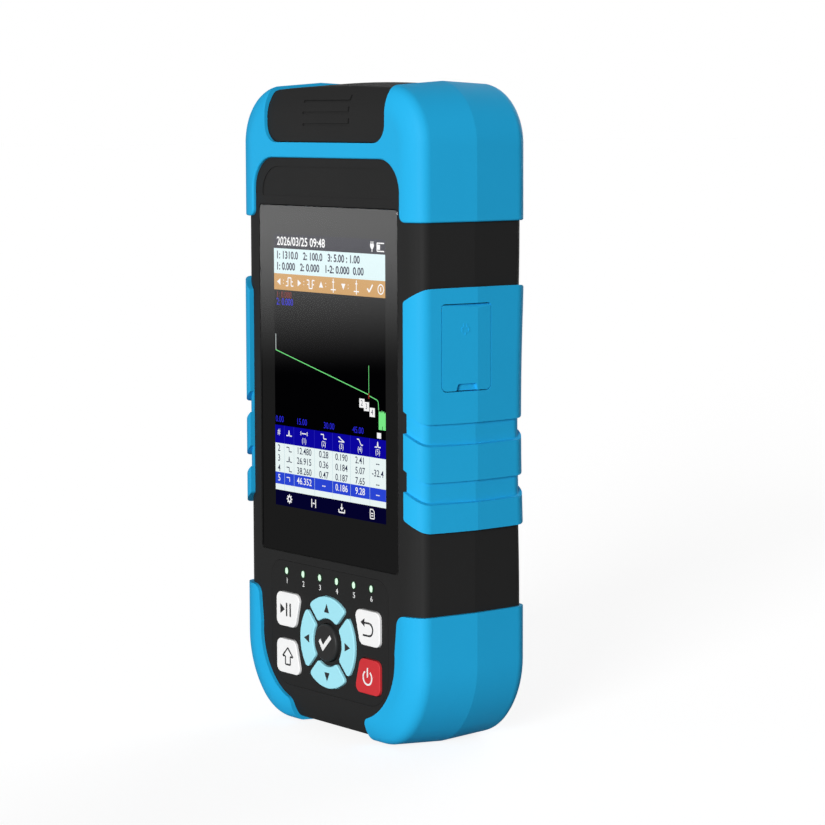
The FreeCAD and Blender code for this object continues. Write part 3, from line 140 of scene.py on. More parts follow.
def metal(name, colour, roughness, scratch_mm, stretch):
    """Bare or plated metal with fine marks drawn out along one axis by the stretch vector."""
    made, tree = new_material(name)
    place = add_node(tree, "ShaderNodeTexCoord").outputs["Object"]
    drawn = add_node(tree, "ShaderNodeMapping", inputs={"Vector": place, "Scale": stretch})
    marks = add_node(tree, "ShaderNodeTexNoise", inputs={
        "Vector": drawn.outputs["Vector"], "Scale": per(scratch_mm), "Detail": 4.0})
    gloss = add_node(tree, "ShaderNodeMapRange", inputs={
        "Value": marks.outputs["Fac"], "From Min": 0.25, "From Max": 0.75,
        "To Min": roughness - METAL_GLOSS_SPREAD, "To Max": roughness + METAL_GLOSS_SPREAD})
    relief = add_node(tree, "ShaderNodeBump", inputs={
        "Height": marks.outputs["Fac"], "Strength": MARK_STRENGTH, "Distance": MARK_DEPTH_MM * MM})
    surface = add_node(tree, "ShaderNodeBsdfPrincipled", inputs={
        "Base Color": srgb(colour), "Metallic": 1.0, "Roughness": gloss.outputs["Result"],
        "Normal": relief.outputs["Normal"]})
    add_node(tree, "ShaderNodeOutputMaterial", inputs={"Surface": surface.outputs["BSDF"]})
    return made


def lit_colour(name, code):
    """One colour of the lit picture: dark cells with their own light, under the bonded window."""
    made, tree = new_material(name)
    place = add_node(tree, "ShaderNodeTexCoord").outputs["Object"]
    cells = add_node(tree, "ShaderNodeTexNoise", inputs={"Vector": place, "Scale": per(0.5), "Detail": 1.0})
    glow = add_node(tree, "ShaderNodeMix", {"data_type": "RGBA"}, {
        "Factor": cells.outputs["Fac"], "A": shaded(code, 0.96), "B": shaded(code, 1.04)})
    surface = add_node(tree, "ShaderNodeBsdfPrincipled", inputs={
        "Base Color": srgb("#000000"), "Roughness": 0.6, "Specular IOR Level": 0.0,
        "Emission Color": glow.outputs["Result"], "Emission Strength": 1.0})
    add_node(tree, "ShaderNodeOutputMaterial", inputs={"Surface": surface.outputs["BSDF"]})
    return made


def printed(name, code):
    """Screen-printed ink: an even film with a faintly uneven tone."""
    return moulded(name, code, 0.5, 0.4, 0.002, specular=0.3, mottle=0.03)


def hard_coated_acrylic():
    """Cast acrylic with a hard coat: clear, flat and very smooth, so it mirrors what stands before it."""
    made, tree = new_material("hard_coated_acrylic")
    place = add_node(tree, "ShaderNodeTexCoord").outputs["Object"]
    flow = add_node(tree, "ShaderNodeTexNoise", inputs={"Vector": place, "Scale": per(30.0), "Detail": 2.0})
    haze = add_node(tree, "ShaderNodeMapRange", inputs={
        "Value": flow.outputs["Fac"], "To Min": 0.015, "To Max": 0.03})
    surface = add_node(tree, "ShaderNodeBsdfPrincipled", inputs={
        "Base Color": (1, 1, 1, 1), "Roughness": haze.outputs["Result"], "IOR": ACRYLIC_IOR,
        "Transmission Weight": 1.0})
    add_node(tree, "ShaderNodeOutputMaterial", inputs={"Surface": surface.outputs["BSDF"]})
    return made


def solder_resist_board():
    """Glass-epoxy board under solder resist: glossy green, with copper tracks showing as lighter lanes."""
    made, tree = new_material("solder_resist_board")
    place = add_node(tree, "ShaderNodeTexCoord").outputs["Object"]
    lanes = add_node(tree, "ShaderNodeTexBrick", inputs={
        "Vector": place, "Scale": per(60.0), "Color1": srgb("#1E5A35"), "Color2": srgb("#24683E"),
        "Mortar": srgb("#174A2B"), "Mortar Size": 0.03})
    surface = add_node(tree, "ShaderNodeBsdfPrincipled", inputs={
        "Base Color": lanes.outputs["Color"], "Roughness": 0.3, "Coat Weight": 0.3})
    add_node(tree, "ShaderNodeOutputMaterial", inputs={"Surface": surface.outputs["BSDF"]})
    return made


def clear_light_pipe():
    """Polycarbonate light pipe lit from behind: pale mint, a little uneven where the light spreads."""
    made, tree = new_material("clear_light_pipe")
    place = add_node(tree, "ShaderNodeTexCoord").outputs["Object"]
    spread = add_node(tree, "ShaderNodeTexNoise", inputs={"Vector": place, "Scale": per(1.2), "Detail": 1.0})
    glow = add_node(tree, "ShaderNodeMix", {"data_type": "RGBA"}, {
        "Factor": spread.outputs["Fac"], "A": srgb("#C9EFD2"), "B": srgb("#EFFFF2")})
    surface = add_node(tree, "ShaderNodeBsdfPrincipled", inputs={
        "Base Color": srgb("#C8EAD0"), "Roughness": 0.25, "Emission Color": glow.outputs["Result"],
        "Emission Strength": LIGHT_PIPE_GLOW})
    add_node(tree, "ShaderNodeOutputMaterial", inputs={"Surface": surface.outputs["BSDF"]})
    return made


# ---------------------------------------------------------------- finishes of the record's slots
# moulded() takes colour, roughness, and the size and depth of the grain in mm; metal() takes colour,
# roughness, the size of its marks in mm and the axis that they are drawn out along.
FINISHES = {
    # ABS moulded against a spark-eroded tool: fine even grain, satin.  The grain is drawn coarser
    # than the real 0.1 mm so that it still shows.
    "black_housing": moulded("spark_textured_abs", "#282828", 0.6, 0.35, 0.012, specular=0.1),
    # Styrene elastomer moulded over the ABS: soft to the touch, satin, with almost no grain
    "blue_overmould": moulded("soft_touch_rubber", "#25B3EB", 0.6, 0.45, 0.006, specular=0.12, mottle=0.02),
    "seal_rubber": moulded("silicone_seal", "#202020", 0.7, 0.6, 0.004, specular=0.3),
    "screw_steel": metal("blackened_steel", "#55575A", 0.42, 0.4, (1, 1, 1)),
    "pin_steel": metal("drawn_stainless_wire", "#B0B2B6", 0.3, 0.2, (0.05, 1, 1)),
    "window_acrylic": hard_coated_acrylic(),
    "display_face": moulded("display_glass_back", "#16181C", 0.4, 0.8, 0.002),
    # Polycarbonate film, printed on its back and hard-coated in front
    "keypad_panel": moulded("hard_coated_keypad_film", "#272727", 0.55, 0.3, 0.008, specular=0.1),
    "circuit_board": solder_resist_board(),
    "status_lens": clear_light_pipe(),
    "module_can": metal("tinned_sheet", "#B8BCC0", 0.36, 0.6, (1, 0.1, 1)),
    "battery_wrap": moulded("heat_shrink_film", "#3A4048", 0.3, 3.0, 0.05, mottle=0.06),
    "ferrule_port": metal("nickel_plated_brass", "#CFCBC2", 0.24, 0.15, (1, 1, 0.1)),
    "port_cover_rubber": moulded("satin_black_rubber", "#282828", 0.6, 0.4, 0.006, specular=0.1),
    "socket_shell": metal("plated_socket_steel", "#C8CACC", 0.22, 0.2, (0.1, 1, 1)),
    # Silicone caps, compression moulded and sprayed with a satin coat
    "white_key": moulded("white_silicone_cap", "#FCFCFC", 0.5, 0.5, 0.003, specular=0.2, mottle=0.005),
    "red_key": moulded("red_silicone_cap", "#D4363C", 0.46, 0.5, 0.003, specular=0.2),
    "cyan_key": moulded("pale_cyan_silicone_cap", "#AAEDFB", 0.5, 0.5, 0.003, specular=0.2, mottle=0.02),
    "black_key": moulded("black_silicone_cap", "#303030", 0.42, 0.5, 0.003, specular=0.15),
}
WHITE_INK = printed("white_key_ink", "#F6F6F6")
DARK_INK = printed("charcoal_key_ink", "#2E2E30")
GREEN_INK = printed("dark_green_lens_ring", "#0F3A1C")
# Black ink on the back of the window.  Its dim grey is painted light: the ink glows by itself in place of the
# little light it would send back, because light scattered behind a clear window comes out grainy.
WINDOW_INK_WITH_PAINTED_GLOW = lit_colour("black_window_ink_with_painted_glow", "#1D1D1D")
# Ceramic of the sleeves in the ports
SLEEVE = moulded("zirconia_sleeve", "#EFEAE0", 0.25, 0.4, 0.001)

for part in frame["record"]["subparts"]:
    shape = frame["nodes"][part["node"]].data
    shape.materials.clear()
    shape.materials.append(FINISHES[part["material_slot"]])


# ---------------------------------------------------------------- drawing helpers
def rectangle(bm, left, base, right, top):
    """Upright rectangle that faces the viewer."""
    corners = ((left, base), (right, base), (right, top), (left, top))
    bm.faces.new([bm.verts.new((x, 0, z)) for x, z in corners])


def polygon(bm, points):
    """Flat shape from its (x, z) corners, counter-clockwise as the viewer sees them."""
    bm.faces.new([bm.verts.new((x, 0, z)) for x, z in points])


def stroke(bm, start, end, width):
    """Straight line of a given width with square ends."""
    a, b = Vector(start), Vector(end)
    side = (b - a).normalized().orthogonal() * width / 2
    polygon(bm, [a - side, b - side, b + side, a + side])


def polyline(bm, points, width):
    for start, end in zip(points, points[1:]):
        stroke(bm, start, end, width)


def ring(bm, middle, inner, outer, start_deg=0.0, sweep_deg=360.0, steps=32):
    """Flat ring, or part of one, swept about its middle from an angle measured from +x."""
    turn = math.radians(start_deg)
    ends = [bm.verts.new((middle[0] + r * math.cos(turn), 0, middle[1] + r * math.sin(turn)))
            for r in (inner, outer)]
    edge = bm.edges.new(ends)
    bmesh.ops.spin(bm, geom=[*ends, edge], cent=(middle[0], 0, middle[1]), axis=(0, -1, 0), dvec=(0, 0, 0),
                   angle=math.radians(sweep_deg), steps=steps, use_merge=sweep_deg == 360.0)


def figures(bm, text, x, z, height, align, narrow, bold):
    """Printed figures or signs, centred on height z; bold is added on each side of a stroke."""
    curve = bpy.data.curves.new("figures", "FONT")
    curve.body = text
    curve.size = height
    curve.offset = bold
    curve.align_x = align
    curve.align_y = "CENTER"
    curve.resolution_u = 3
    holder = bpy.data.objects.new("figures", curve)
    bpy.context.scene.collection.objects.link(holder)
    flat = bpy.data.meshes.new_from_object(holder.evaluated_get(bpy.context.evaluated_depsgraph_get()))
    upright = Matrix.Rotation(math.pi / 2, 4, "X") @ Matrix.Diagonal((narrow, 1, 1, 1))
    flat.transform(Matrix.Translation((x, 0, z)) @ upright)
    bm.from_mesh(flat)
    bpy.data.meshes.remove(flat)
    bpy.data.objects.remove(holder)
    bpy.data.curves.remove(curve)


def new_piece(name, bm, material, body):
    """Object of a finished drawing or form in millimetres, riding on a body."""
    bmesh.ops.scale(bm, vec=(MM, MM, MM), verts=bm.verts)
    mesh = bpy.data.meshes.new(name)
    bm.to_mesh(mesh)
    bm.free()
    mesh.materials.append(material)
    made = bpy.data.objects.new(name, mesh)
    bpy.context.scene.collection.objects.link(made)
    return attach(made, body)


def thickened(bm, front_y, depth):
    """Gives a flat drawing its thickness, from front_y backwards."""
    bmesh.ops.remove_doubles(bm, verts=bm.verts, dist=1e-4)
    bmesh.ops.recalc_face_normals(bm, faces=bm.faces)
    whole = bmesh.ops.extrude_face_region(bm, geom=bm.faces[:])
    moved = [v for v in whole["geom"] if isinstance(v, bmesh.types.BMVert)]
    bmesh.ops.translate(bm, vec=(0, depth, 0), verts=moved)
    bmesh.ops.recalc_face_normals(bm, faces=bm.faces)
    bmesh.ops.translate(bm, vec=(0, front_y, 0), verts=bm.verts)


def print_piece(name, bm, front_y, depth, material, body):
    thickened(bm, front_y, depth)
    return new_piece(name, bm, material, body)


# ---------------------------------------------------------------- display picture
# Places on the picture are shares: u of its width from the left, v of its height from the top.
# Signs, heights of figures and widths of lines are in millimetres.
def across(u):
    return SCREEN_LEFT + u * SCREEN_WIDTH


def down(v):
    return SCREEN_TOP - v * SCREEN_HEIGHT


def placed(points, u, v):
    """A sign's points, set round a place on the picture."""
    return [(across(u) + a, down(v) + b) for a, b in points]


def flipped(runs):
    return [[(a, -b) for a, b in run] for run in runs]


class Picture:
    """The lit picture: one drawing per colour and layer, placed under the window from the back."""

    def __init__(self):
        self.drawings = {}

    def on(self, colour, layer):
        if (colour, layer) not in self.drawings:
            self.drawings[colour, layer] = bmesh.new()
        return self.drawings[colour, layer]

    def area(self, colour, layer, u0, v0, u1, v1):
        rectangle(self.on(colour, layer), across(u0), down(v1), across(u1), down(v0))

    def text(self, colour, layer, text, u, v, height, align="LEFT", narrow=0.92, bold=0.0):
        figures(self.on(colour, layer), text, across(u), down(v), height, align, narrow, bold)

    def line(self, colour, layer, points, width):
        polyline(self.on(colour, layer), [(across(u), down(v)) for u, v in points], width)

    def sign(self, colour, layer, u, v, runs, width):
        """Small sign of straight runs."""
        for run in runs:
            polyline(self.on(colour, layer), placed(run, u, v), width)

    def solid(self, colour, layer, u, v, points):
        """Small filled sign."""
        polygon(self.on(colour, layer), placed(points, u, v))

    def place(self):
        back = GLASS_HIGH.y / MM
        for (colour, layer), drawing in self.drawings.items():
            name = f"picture_{layer}_{colour[1:]}"
            light = lit_colour(f"lit_{colour[1:]}", colour)
            print_piece(name, drawing, back - (layer + 1) * LAYER_STEP, LAYER, light, CASE)


# Colours of the picture
UNLIT = "#020203"
SLATE = "#17172A"
ICE = "#E2F8FA"
TAN = "#D3A262"
HEADER_BLUE = "#0C06A2"
ROW_WHITE = "#F0FEFD"
ROW_BLUE = "#2B47D8"
NAVY = "#04032C"
WHITE = "#FFFFFF"
DARK_TEXT = "#161C42"
TRACE_GREEN = "#7CF08A"
READING_RED = "#8E2A26"
READING_BLUE = "#2C2CE0"
ROW_LINE = "#BFD8DE"
HEADER_LINE = "#3430C0"

# Depths of the picture's layers: fields, the marked row, then what is written on them
FIELD = 1
BAND = 2
MARKED = 3
WRITING = 4
OVER = 5

# Lower edges of the bands, from the top, and the level of what is written on them
STATUS_BASE = 0.052
READINGS_BASE = 0.144
READING_LEVELS = (0.077, 0.118)
CURSOR_BAR_BASE = 0.2035
CURSOR_BAR_LEVEL = 0.174
PLOT_BASE = 0.703
SCALE_LEVEL = 0.681
HEADER_BASE = 0.7695
COUNT_LEVEL = 0.728
KIND_LEVEL = 0.729
HEADER_SIGN_LEVEL = 0.722
HEADER_FIGURE_LEVEL = 0.748
ROWS_BASE = 0.943
FIRST_ROW_LEVEL = 0.7885
ROW_PITCH = 0.0368
MARKED_ROW = 3
MARKED_TOP = 0.877
MARKED_BASE = 0.921
SOFT_KEY_LEVEL = 0.9715

# Heights of the figures
DATE_FIGURES = 4.0
READING_FIGURES = 3.5
FIRST_CURSOR_FIGURES = 3.0
SECOND_CURSOR_FIGURES = 3.3
SCALE_FIGURES = 3.0
TAG_FIGURES = 2.6
COUNT_FIGURES = 3.0
HEADER_FIGURES = 2.5
CELL_FIGURES = 3.2

# The table: middles of its columns and the lines between them
COLUMNS = (0.035, 0.13, 0.27, 0.45, 0.61, 0.775, 0.93)
COLUMN_EDGES = (0.085, 0.175, 0.365, 0.53, 0.69, 0.86)
COLUMN_LINE = 0.14
READINGS_LEFT = 0.02

# Signs of the status bar, and where they stand
DATE_PLACE = (0.028, 0.0265)
PLUG_PLACE = (0.888, 0.026)
BATTERY_PLACE = (0.963, 0.027)
CHARGE = (0.932, 0.018, 0.957, 0.036)
PLUG_BODY = ((-1.0, 0.9), (-1.0, 0.0), (-0.3, -0.9), (0.3, -0.9), (1.0, 0.0), (1.0, 0.9))
PLUG_PINS = (((-0.5, 0.9), (-0.5, 1.7)), ((0.5, 0.9), (0.5, 1.7)), ((0, -0.9), (0, -1.7)))
BATTERY = (((1.8, 1.3), (-2.0, 1.3), (-2.0, -1.3), (1.8, -1.3)),)
STATUS_STROKE = 0.4

# Signs of the cursor bar, and where they stand
ARROWS = ((0.045, 90), (0.235, -90), (0.435, 0), (0.635, 180))
DOTS_FROM_ARROW = 0.043
DOT_RISES = (-0.45, 0.6)
PULSE_PLACE = 0.145
DIP_PLACE = 0.34
CURSOR_PLACES = (0.545, 0.75)
TICK_PLACE = 0.868
ROUND_PLACE = 0.962
ROUND_INNER_R = 1.3
ROUND_OUTER_R = 1.7
PULSE_STROKE = 0.42
CURSOR_STROKE = 0.4
TICK_STROKE = 0.62
CENTRE_STROKE = 0.5
ARROW_HEAD = ((-1.15, -0.9), (1.15, -0.9), (0, 1.1))
DOT = ((-0.16, -0.16), (0.16, -0.16), (0.16, 0.16), (-0.16, 0.16))
PULSE = (((-2.2, -1.2), (-0.9, -1.2), (-0.9, 1.5), (0.9, 1.5), (0.9, -1.2), (2.2, -1.2)),
         ((-1.9, 0.2), (-1.2, 0.2)), ((1.2, 0.2), (1.9, 0.2)))
CURSOR = (((0, 2.3), (0, -2.3)), ((-1.4, -1.3), (1.4, -1.3)), ((-0.6, 1.2), (0.6, 1.2)))
TICK = (((-1.4, 0.0), (-0.4, -1.1), (1.5, 1.3)),)
CENTRE_BAR = (((0, -0.7), (0, 0.7)),)

# Signs of the table: kinds of event, and what the columns hold
SPIKE = ((-1.6, -0.8), (-0.3, -0.8), (0, 1.0), (0.3, -0.8), (1.6, -0.8))
STEP = ((-1.6, 0.7), (0, 0.7), (0, -0.7), (1.6, -0.7))
END = ((-1.6, 0.6), (0.2, 0.6), (0.2, -0.8))
SPAN = (((-1.8, -0.6), (-1.8, 0.7)), ((1.8, -0.6), (1.8, 0.7)), ((-1.3, 0.0), (1.3, 0.0)))
SLOPE = (((-1.6, 0.8), (1.6, -0.8)), ((-1.6, -0.8), (1.6, -0.8)))
FALL = (((-1.6, 0.9), (-0.6, 0.9), (0.6, -0.9), (1.6, -0.9)),)
HEADER_SIGNS = (SPAN, (STEP,), SLOPE, FALL, (SPIKE,))
HEADER_STROKE = 0.36
KIND_STROKE = 0.3
EVENTS = (
    (STEP, "2", "12.480", "0.28", "0.190", "2.41", "--"),
    (SPIKE, "3", "26.915", "0.36", "0.184", "5.07", "-32.4"),
    (STEP, "4", "38.260", "0.47", "0.187", "7.65", "--"),
    (END, "5", "46.352", "--", "0.186", "9.28", "--"),
)

# The plot: the fibre's trace down to its end, the spike there, and the noise past the end
TRACE = ((0.01, 0.4255), (0.25, 0.4605), (0.5, 0.497), (0.855, 0.549), (0.855, 0.552), (0.925, 0.564),
         (0.936, 0.571), (0.94, 0.60))
NOISE = ((0.94, 0.668), (1.0, 0.668), (1.0, 0.603), (0.992, 0.61), (0.984, 0.6), (0.976, 0.607),
         (0.968, 0.598), (0.96, 0.609), (0.952, 0.601), (0.946, 0.606), (0.94, 0.602))
END_SPIKE = ((0.855, 0.446), (0.855, 0.552))
START_SPIKE = ((0.012, 0.366), (0.012, 0.4255))
END_MARK = ((0.855, 0.543), (0.855, 0.563))
NOISE_GAP = ((0.972, 0.668), (0.972, 0.655))
TRACE_WIDTH = 0.28
SPIKE_WIDTH = 0.22
END_MARK_WIDTH = 0.6
NOISE_GAP_WIDTH = 0.3
FIRST_CURSOR_LEVEL = 0.222
SECOND_CURSOR_LEVEL = 0.248
EXTRA_TAG = (0.925, 0.679, 0.96, 0.699)
FIRST_TAG_NUMBER = 2
TAGS = ((0.772, 0.566), (0.812, 0.576), (0.862, 0.594))
TAG_WIDTH = 0.045
TAG_HEIGHT = 0.032
TAG_MIDDLE = (0.022, 0.016)
SCALE = ((0.005, "0.00"), (0.2, "15.00"), (0.45, "30.00"), (0.71, "45.00"))

# Signs of the soft keys, and where they stand
GEAR_PLACE = 0.13
GEAR_BORE_R = 0.6
GEAR_BODY_R = 1.1
TOOTH_FOOT_R = 1.05
TOOTH_TIP_R = 1.55
TOOTH_WIDTH = 0.5
TWO_CURSORS_PLACE = 0.355
TRAY_PLACE = 0.61
SHEET_PLACE = 0.88
TWO_CURSORS = (((-1.1, -1.4), (-1.1, 1.4)), ((1.1, -1.4), (1.1, 1.4)), ((-0.6, 0), (0.6, 0)))
TRAY = (((-1.6, -0.3), (-1.6, -1.3), (1.6, -1.3), (1.6, -0.3)), ((0, 1.6), (0, 0.3)))
TRAY_ARROW = ((0, -0.7), (0.9, 0.35), (-0.9, 0.35))
SHEET = (((-1.1, 1.5), (-1.1, -1.5), (1.1, -1.5), (1.1, 0.8), (0.4, 1.5), (-1.1, 1.5)),
         ((-0.6, 0.2), (0.6, 0.2)), ((-0.6, -0.6), (0.6, -0.6)))
GEAR_TEETH = 8
SOFT_KEY_STROKE = 0.45
SHEET_STROKE = 0.36


def picture_fields(picture):
    picture.area(UNLIT, FIELD, 0, 0, 1, 1)
    picture.area(SLATE, BAND, 0, 0, 1, STATUS_BASE)
    picture.area(ICE, BAND, 0, STATUS_BASE, 1, READINGS_BASE)
    picture.area(TAN, BAND, 0, READINGS_BASE, 1, CURSOR_BAR_BASE)
    picture.area(HEADER_BLUE, BAND, 0, PLOT_BASE, 1, HEADER_BASE)
    picture.area(ROW_WHITE, BAND, 0, HEADER_BASE, 1, ROWS_BASE)
    picture.area(ROW_BLUE, MARKED, 0, MARKED_TOP, 1, MARKED_BASE)
    picture.area(NAVY, BAND, 0, ROWS_BASE, 1, 1.0)


def picture_status(picture):
    """Date and time, mains plug and battery."""
    picture.text(WHITE, WRITING, "2026/03/25 09:48", *DATE_PLACE, DATE_FIGURES, narrow=0.98, bold=0.07)
    picture.solid(WHITE, WRITING, *PLUG_PLACE, PLUG_BODY)
    picture.sign(WHITE, WRITING, *PLUG_PLACE, PLUG_PINS, STATUS_STROKE)
    picture.sign(WHITE, WRITING, *BATTERY_PLACE, BATTERY, STATUS_STROKE)
    picture.area(WHITE, WRITING, *CHARGE)


def picture_readings(picture):
    texts = ("1: 1310.0   2: 100.0   3: 5.00 : 1.00", "1: 0.000   2: 0.000   1-2: 0.000  0.00")
    for text, v in zip(texts, READING_LEVELS):
        picture.text(DARK_TEXT, WRITING, text, READINGS_LEFT, v, READING_FIGURES, narrow=0.98, bold=0.09)


def picture_cursor_bar(picture):
    """Four arrows with the step that each makes, a tick and a round sign."""
    v = CURSOR_BAR_LEVEL
    for u, turn_deg in ARROWS:
        turn = Matrix.Rotation(math.radians(turn_deg), 2)
        picture.solid(WHITE, WRITING, u, v, [turn @ Vector(corner) for corner in ARROW_HEAD])
        for rise in DOT_RISES:
            picture.solid(WHITE, WRITING, u + DOTS_FROM_ARROW, v, [(a, b + rise) for a, b in DOT])
    picture.sign(WHITE, WRITING, PULSE_PLACE, v, PULSE, PULSE_STROKE)
    picture.sign(WHITE, WRITING, DIP_PLACE, v, flipped(PULSE), PULSE_STROKE)
    for u in CURSOR_PLACES:
        picture.sign(WHITE, WRITING, u, v, CURSOR, CURSOR_STROKE)
    picture.sign(WHITE, WRITING, TICK_PLACE, v, TICK, TICK_STROKE)
    ring(picture.on(WHITE, WRITING), (across(ROUND_PLACE), down(v)), ROUND_INNER_R, ROUND_OUTER_R)
    picture.sign(WHITE, WRITING, ROUND_PLACE, v, CENTRE_BAR, CENTRE_STROKE)


def picture_plot(picture):
    """Two cursor readings, the trace, tags of its events and the scale of distance."""
    picture.text(READING_RED, WRITING, "1: 0.000", READINGS_LEFT, FIRST_CURSOR_LEVEL, FIRST_CURSOR_FIGURES)
    picture.text(READING_BLUE, WRITING, "2: 0.000", READINGS_LEFT, SECOND_CURSOR_LEVEL, SECOND_CURSOR_FIGURES)
    picture.line(TRACE_GREEN, WRITING, TRACE, TRACE_WIDTH)
    picture.line(TRACE_GREEN, WRITING, END_SPIKE, SPIKE_WIDTH)
    picture.line(ROW_WHITE, WRITING, START_SPIKE, SPIKE_WIDTH)
    picture.line(READING_RED, OVER, END_MARK, END_MARK_WIDTH)
    polygon(picture.on(TRACE_GREEN, WRITING), [(across(u), down(v)) for u, v in NOISE])
    picture.line(UNLIT, OVER, NOISE_GAP, NOISE_GAP_WIDTH)
    for i, (u, v) in enumerate(TAGS):
        picture.area(WHITE, OVER + i, u, v, u + TAG_WIDTH, v + TAG_HEIGHT)
        middle = (u + TAG_MIDDLE[0], v + TAG_MIDDLE[1])
        picture.text(DARK_TEXT, OVER + len(TAGS), str(FIRST_TAG_NUMBER + i), *middle, TAG_FIGURES, "CENTER")
    picture.area(WHITE, OVER, *EXTRA_TAG)
    for u, text in SCALE:
        picture.text(READING_BLUE, WRITING, text, u, SCALE_LEVEL, SCALE_FIGURES)


def picture_table(picture):
    """Events along the fibre: number, kind, place and four readings, with one row marked."""
    picture.text(WHITE, WRITING, "#", COLUMNS[0], COUNT_LEVEL, COUNT_FIGURES, "CENTER")
    picture.sign(WHITE, WRITING, COLUMNS[1], KIND_LEVEL, [SPIKE], HEADER_STROKE)
    for i, (u, runs) in enumerate(zip(COLUMNS[2:], HEADER_SIGNS)):
        picture.sign(WHITE, WRITING, u, HEADER_SIGN_LEVEL, runs, HEADER_STROKE)
        picture.text(WHITE, WRITING, f"({i + 1})", u, HEADER_FIGURE_LEVEL, HEADER_FIGURES, "CENTER")
    for i, (kind, *cells) in enumerate(EVENTS):
        colour = WHITE if i == MARKED_ROW else DARK_TEXT
        v = FIRST_ROW_LEVEL + i * ROW_PITCH
        for u, text in zip((COLUMNS[0], *COLUMNS[2:]), cells):
            picture.text(colour, OVER, text, u, v, CELL_FIGURES, "CENTER", narrow=0.98, bold=0.02)
        picture.sign(colour, OVER, COLUMNS[1], v, [kind], KIND_STROKE)
    for u in COLUMN_EDGES:
        picture.line(ROW_LINE, WRITING, [(u, HEADER_BASE), (u, ROWS_BASE)], COLUMN_LINE)
        picture.line(HEADER_LINE, WRITING, [(u, PLOT_BASE), (u, HEADER_BASE)], COLUMN_LINE)


def picture_soft_keys(picture):
    """Adjust, two cursors, store and document."""
    v = SOFT_KEY_LEVEL
    soft = picture.on(WHITE, WRITING)
    gear = Vector((across(GEAR_PLACE), down(v)))
    ring(soft, gear, GEAR_BORE_R, GEAR_BODY_R)
    for i in range(GEAR_TEETH):
        turn = math.radians(360 / GEAR_TEETH * i)
        out = Vector((math.cos(turn), math.sin(turn)))
        stroke(soft, gear + out * TOOTH_FOOT_R, gear + out * TOOTH_TIP_R, TOOTH_WIDTH)
    picture.sign(WHITE, WRITING, TWO_CURSORS_PLACE, v, TWO_CURSORS, SOFT_KEY_STROKE)
    picture.sign(WHITE, WRITING, TRAY_PLACE, v, TRAY, SOFT_KEY_STROKE)
    picture.solid(WHITE, WRITING, TRAY_PLACE, v, TRAY_ARROW)
    picture.sign(WHITE, WRITING, SHEET_PLACE, v, SHEET, SHEET_STROKE)


def display_picture():
    """Trace view of a fibre tester."""
    picture = Picture()
    picture_fields(picture)
    picture_status(picture)
    picture_readings(picture)
    picture_cursor_bar(picture)
    picture_plot(picture)
    picture_table(picture)
    picture_soft_keys(picture)
    picture.place()


INK_INSET = 0.15                        # window's edge left clear


def window_print():
    """Black ink on the back of the window, all round the picture."""
    left = GLASS_LOW.x / MM + INK_INSET
    right = GLASS_HIGH.x / MM - INK_INSET
    base = GLASS_LOW.z / MM + INK_INSET
    top = GLASS_HIGH.z / MM - INK_INSET
    border = bmesh.new()
    rectangle(border, left, base, right, SCREEN_BASE)
    rectangle(border, left, SCREEN_TOP, right, top)
    rectangle(border, left, SCREEN_BASE, SCREEN_LEFT, SCREEN_TOP)
    rectangle(border, SCREEN_RIGHT, SCREEN_BASE, right, SCREEN_TOP)
    # the border's ink carries a painted glow, not light from the lamps
    print_piece("window_print", border, GLASS_HIGH.y / MM - LAYER_STEP, LAYER, WINDOW_INK_WITH_PAINTED_GLOW, CASE)


display_picture()
window_print()


# ---------------------------------------------------------------- legends on keys
# Each sign is drawn in millimetres round the middle (x, z) of its key.
ARROW_LINE = 0.65                       # widths of the signs' lines
SHIFT_LINE = 0.6
POWER_LINE = 0.65
BAR_WIDTH = 0.8
BAR_HALF_HEIGHT = 2.3
BAR_LEFTS = (-0.9, 1.2)
PLAY_TRIANGLE = ((-4.2, -1.7), (-1.5, 0.0), (-4.2, 1.7))
SHIFT_OUTLINE = ((0, 3.0), (-3.0, 0.0), (-1.4, 0.0), (-1.4, -2.8), (1.4, -2.8), (1.4, 0.0), (3.0, 0.0),
                 (0, 3.0))
TICK_OUTLINE = ((-3.4, 0.2), (-1.1, -2.9), (3.8, 1.9), (2.9, 3.0), (-0.9, -0.7), (-2.4, 1.2))
BACK_TURN_R = 2.075                     # middle of the back arrow's bend
BACK_MIDDLE = (0.9, -0.35)
BACK_UPPER = ((0.9, 1.73), (-1.6, 1.73))
BACK_LOWER = ((0.9, -2.43), (-2.4, -2.43))
BACK_HEAD = ((-3.6, 1.73), (-1.5, 0.3), (-1.5, 3.15))
POWER_RING_R = 2.325
POWER_DROP = 0.3                        # middle of the ring below the middle of the key
POWER_BAR = (-0.35, -0.2, 0.35, 3.0)
POWER_OPENING = 70.0                    # degrees left open at the top of the ring
DIRECTION_HALF_WIDTH = 1.45
DIRECTION_HALF_HEIGHT = 1.5
DIRECTION_OUT = 0.5                     # beyond the middle of the key's box


def node_box(name):
    """Lowest and highest corners of a node, in millimetres."""
    low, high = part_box(name)
    return low / MM, high / MM


def legend(name, key, draw, ink):
    """A printed sign in the middle of a key, drawn by draw(bm, x, z) round the key's middle."""
    low, high = node_box(key)
    drawing = bmesh.new()
    draw(drawing, (low.x + high.x) / 2, (low.z + high.z) / 2)
    print_piece(name, drawing, low.y - LEGEND_PROUD, LEGEND_DEEP, ink, key)


def about(points, x, z):
    return [(x + a, z + b) for a, b in points]


def play_sign(bm, x, z):
    """Play and pause."""
    polygon(bm, about(PLAY_TRIANGLE, x, z))
    for left in BAR_LEFTS:
        rectangle(bm, x + left, z - BAR_HALF_HEIGHT, x + left + BAR_WIDTH, z + BAR_HALF_HEIGHT)


def shift_sign(bm, x, z):
    """Hollow upward arrow."""
    polyline(bm, about(SHIFT_OUTLINE, x, z), SHIFT_LINE)


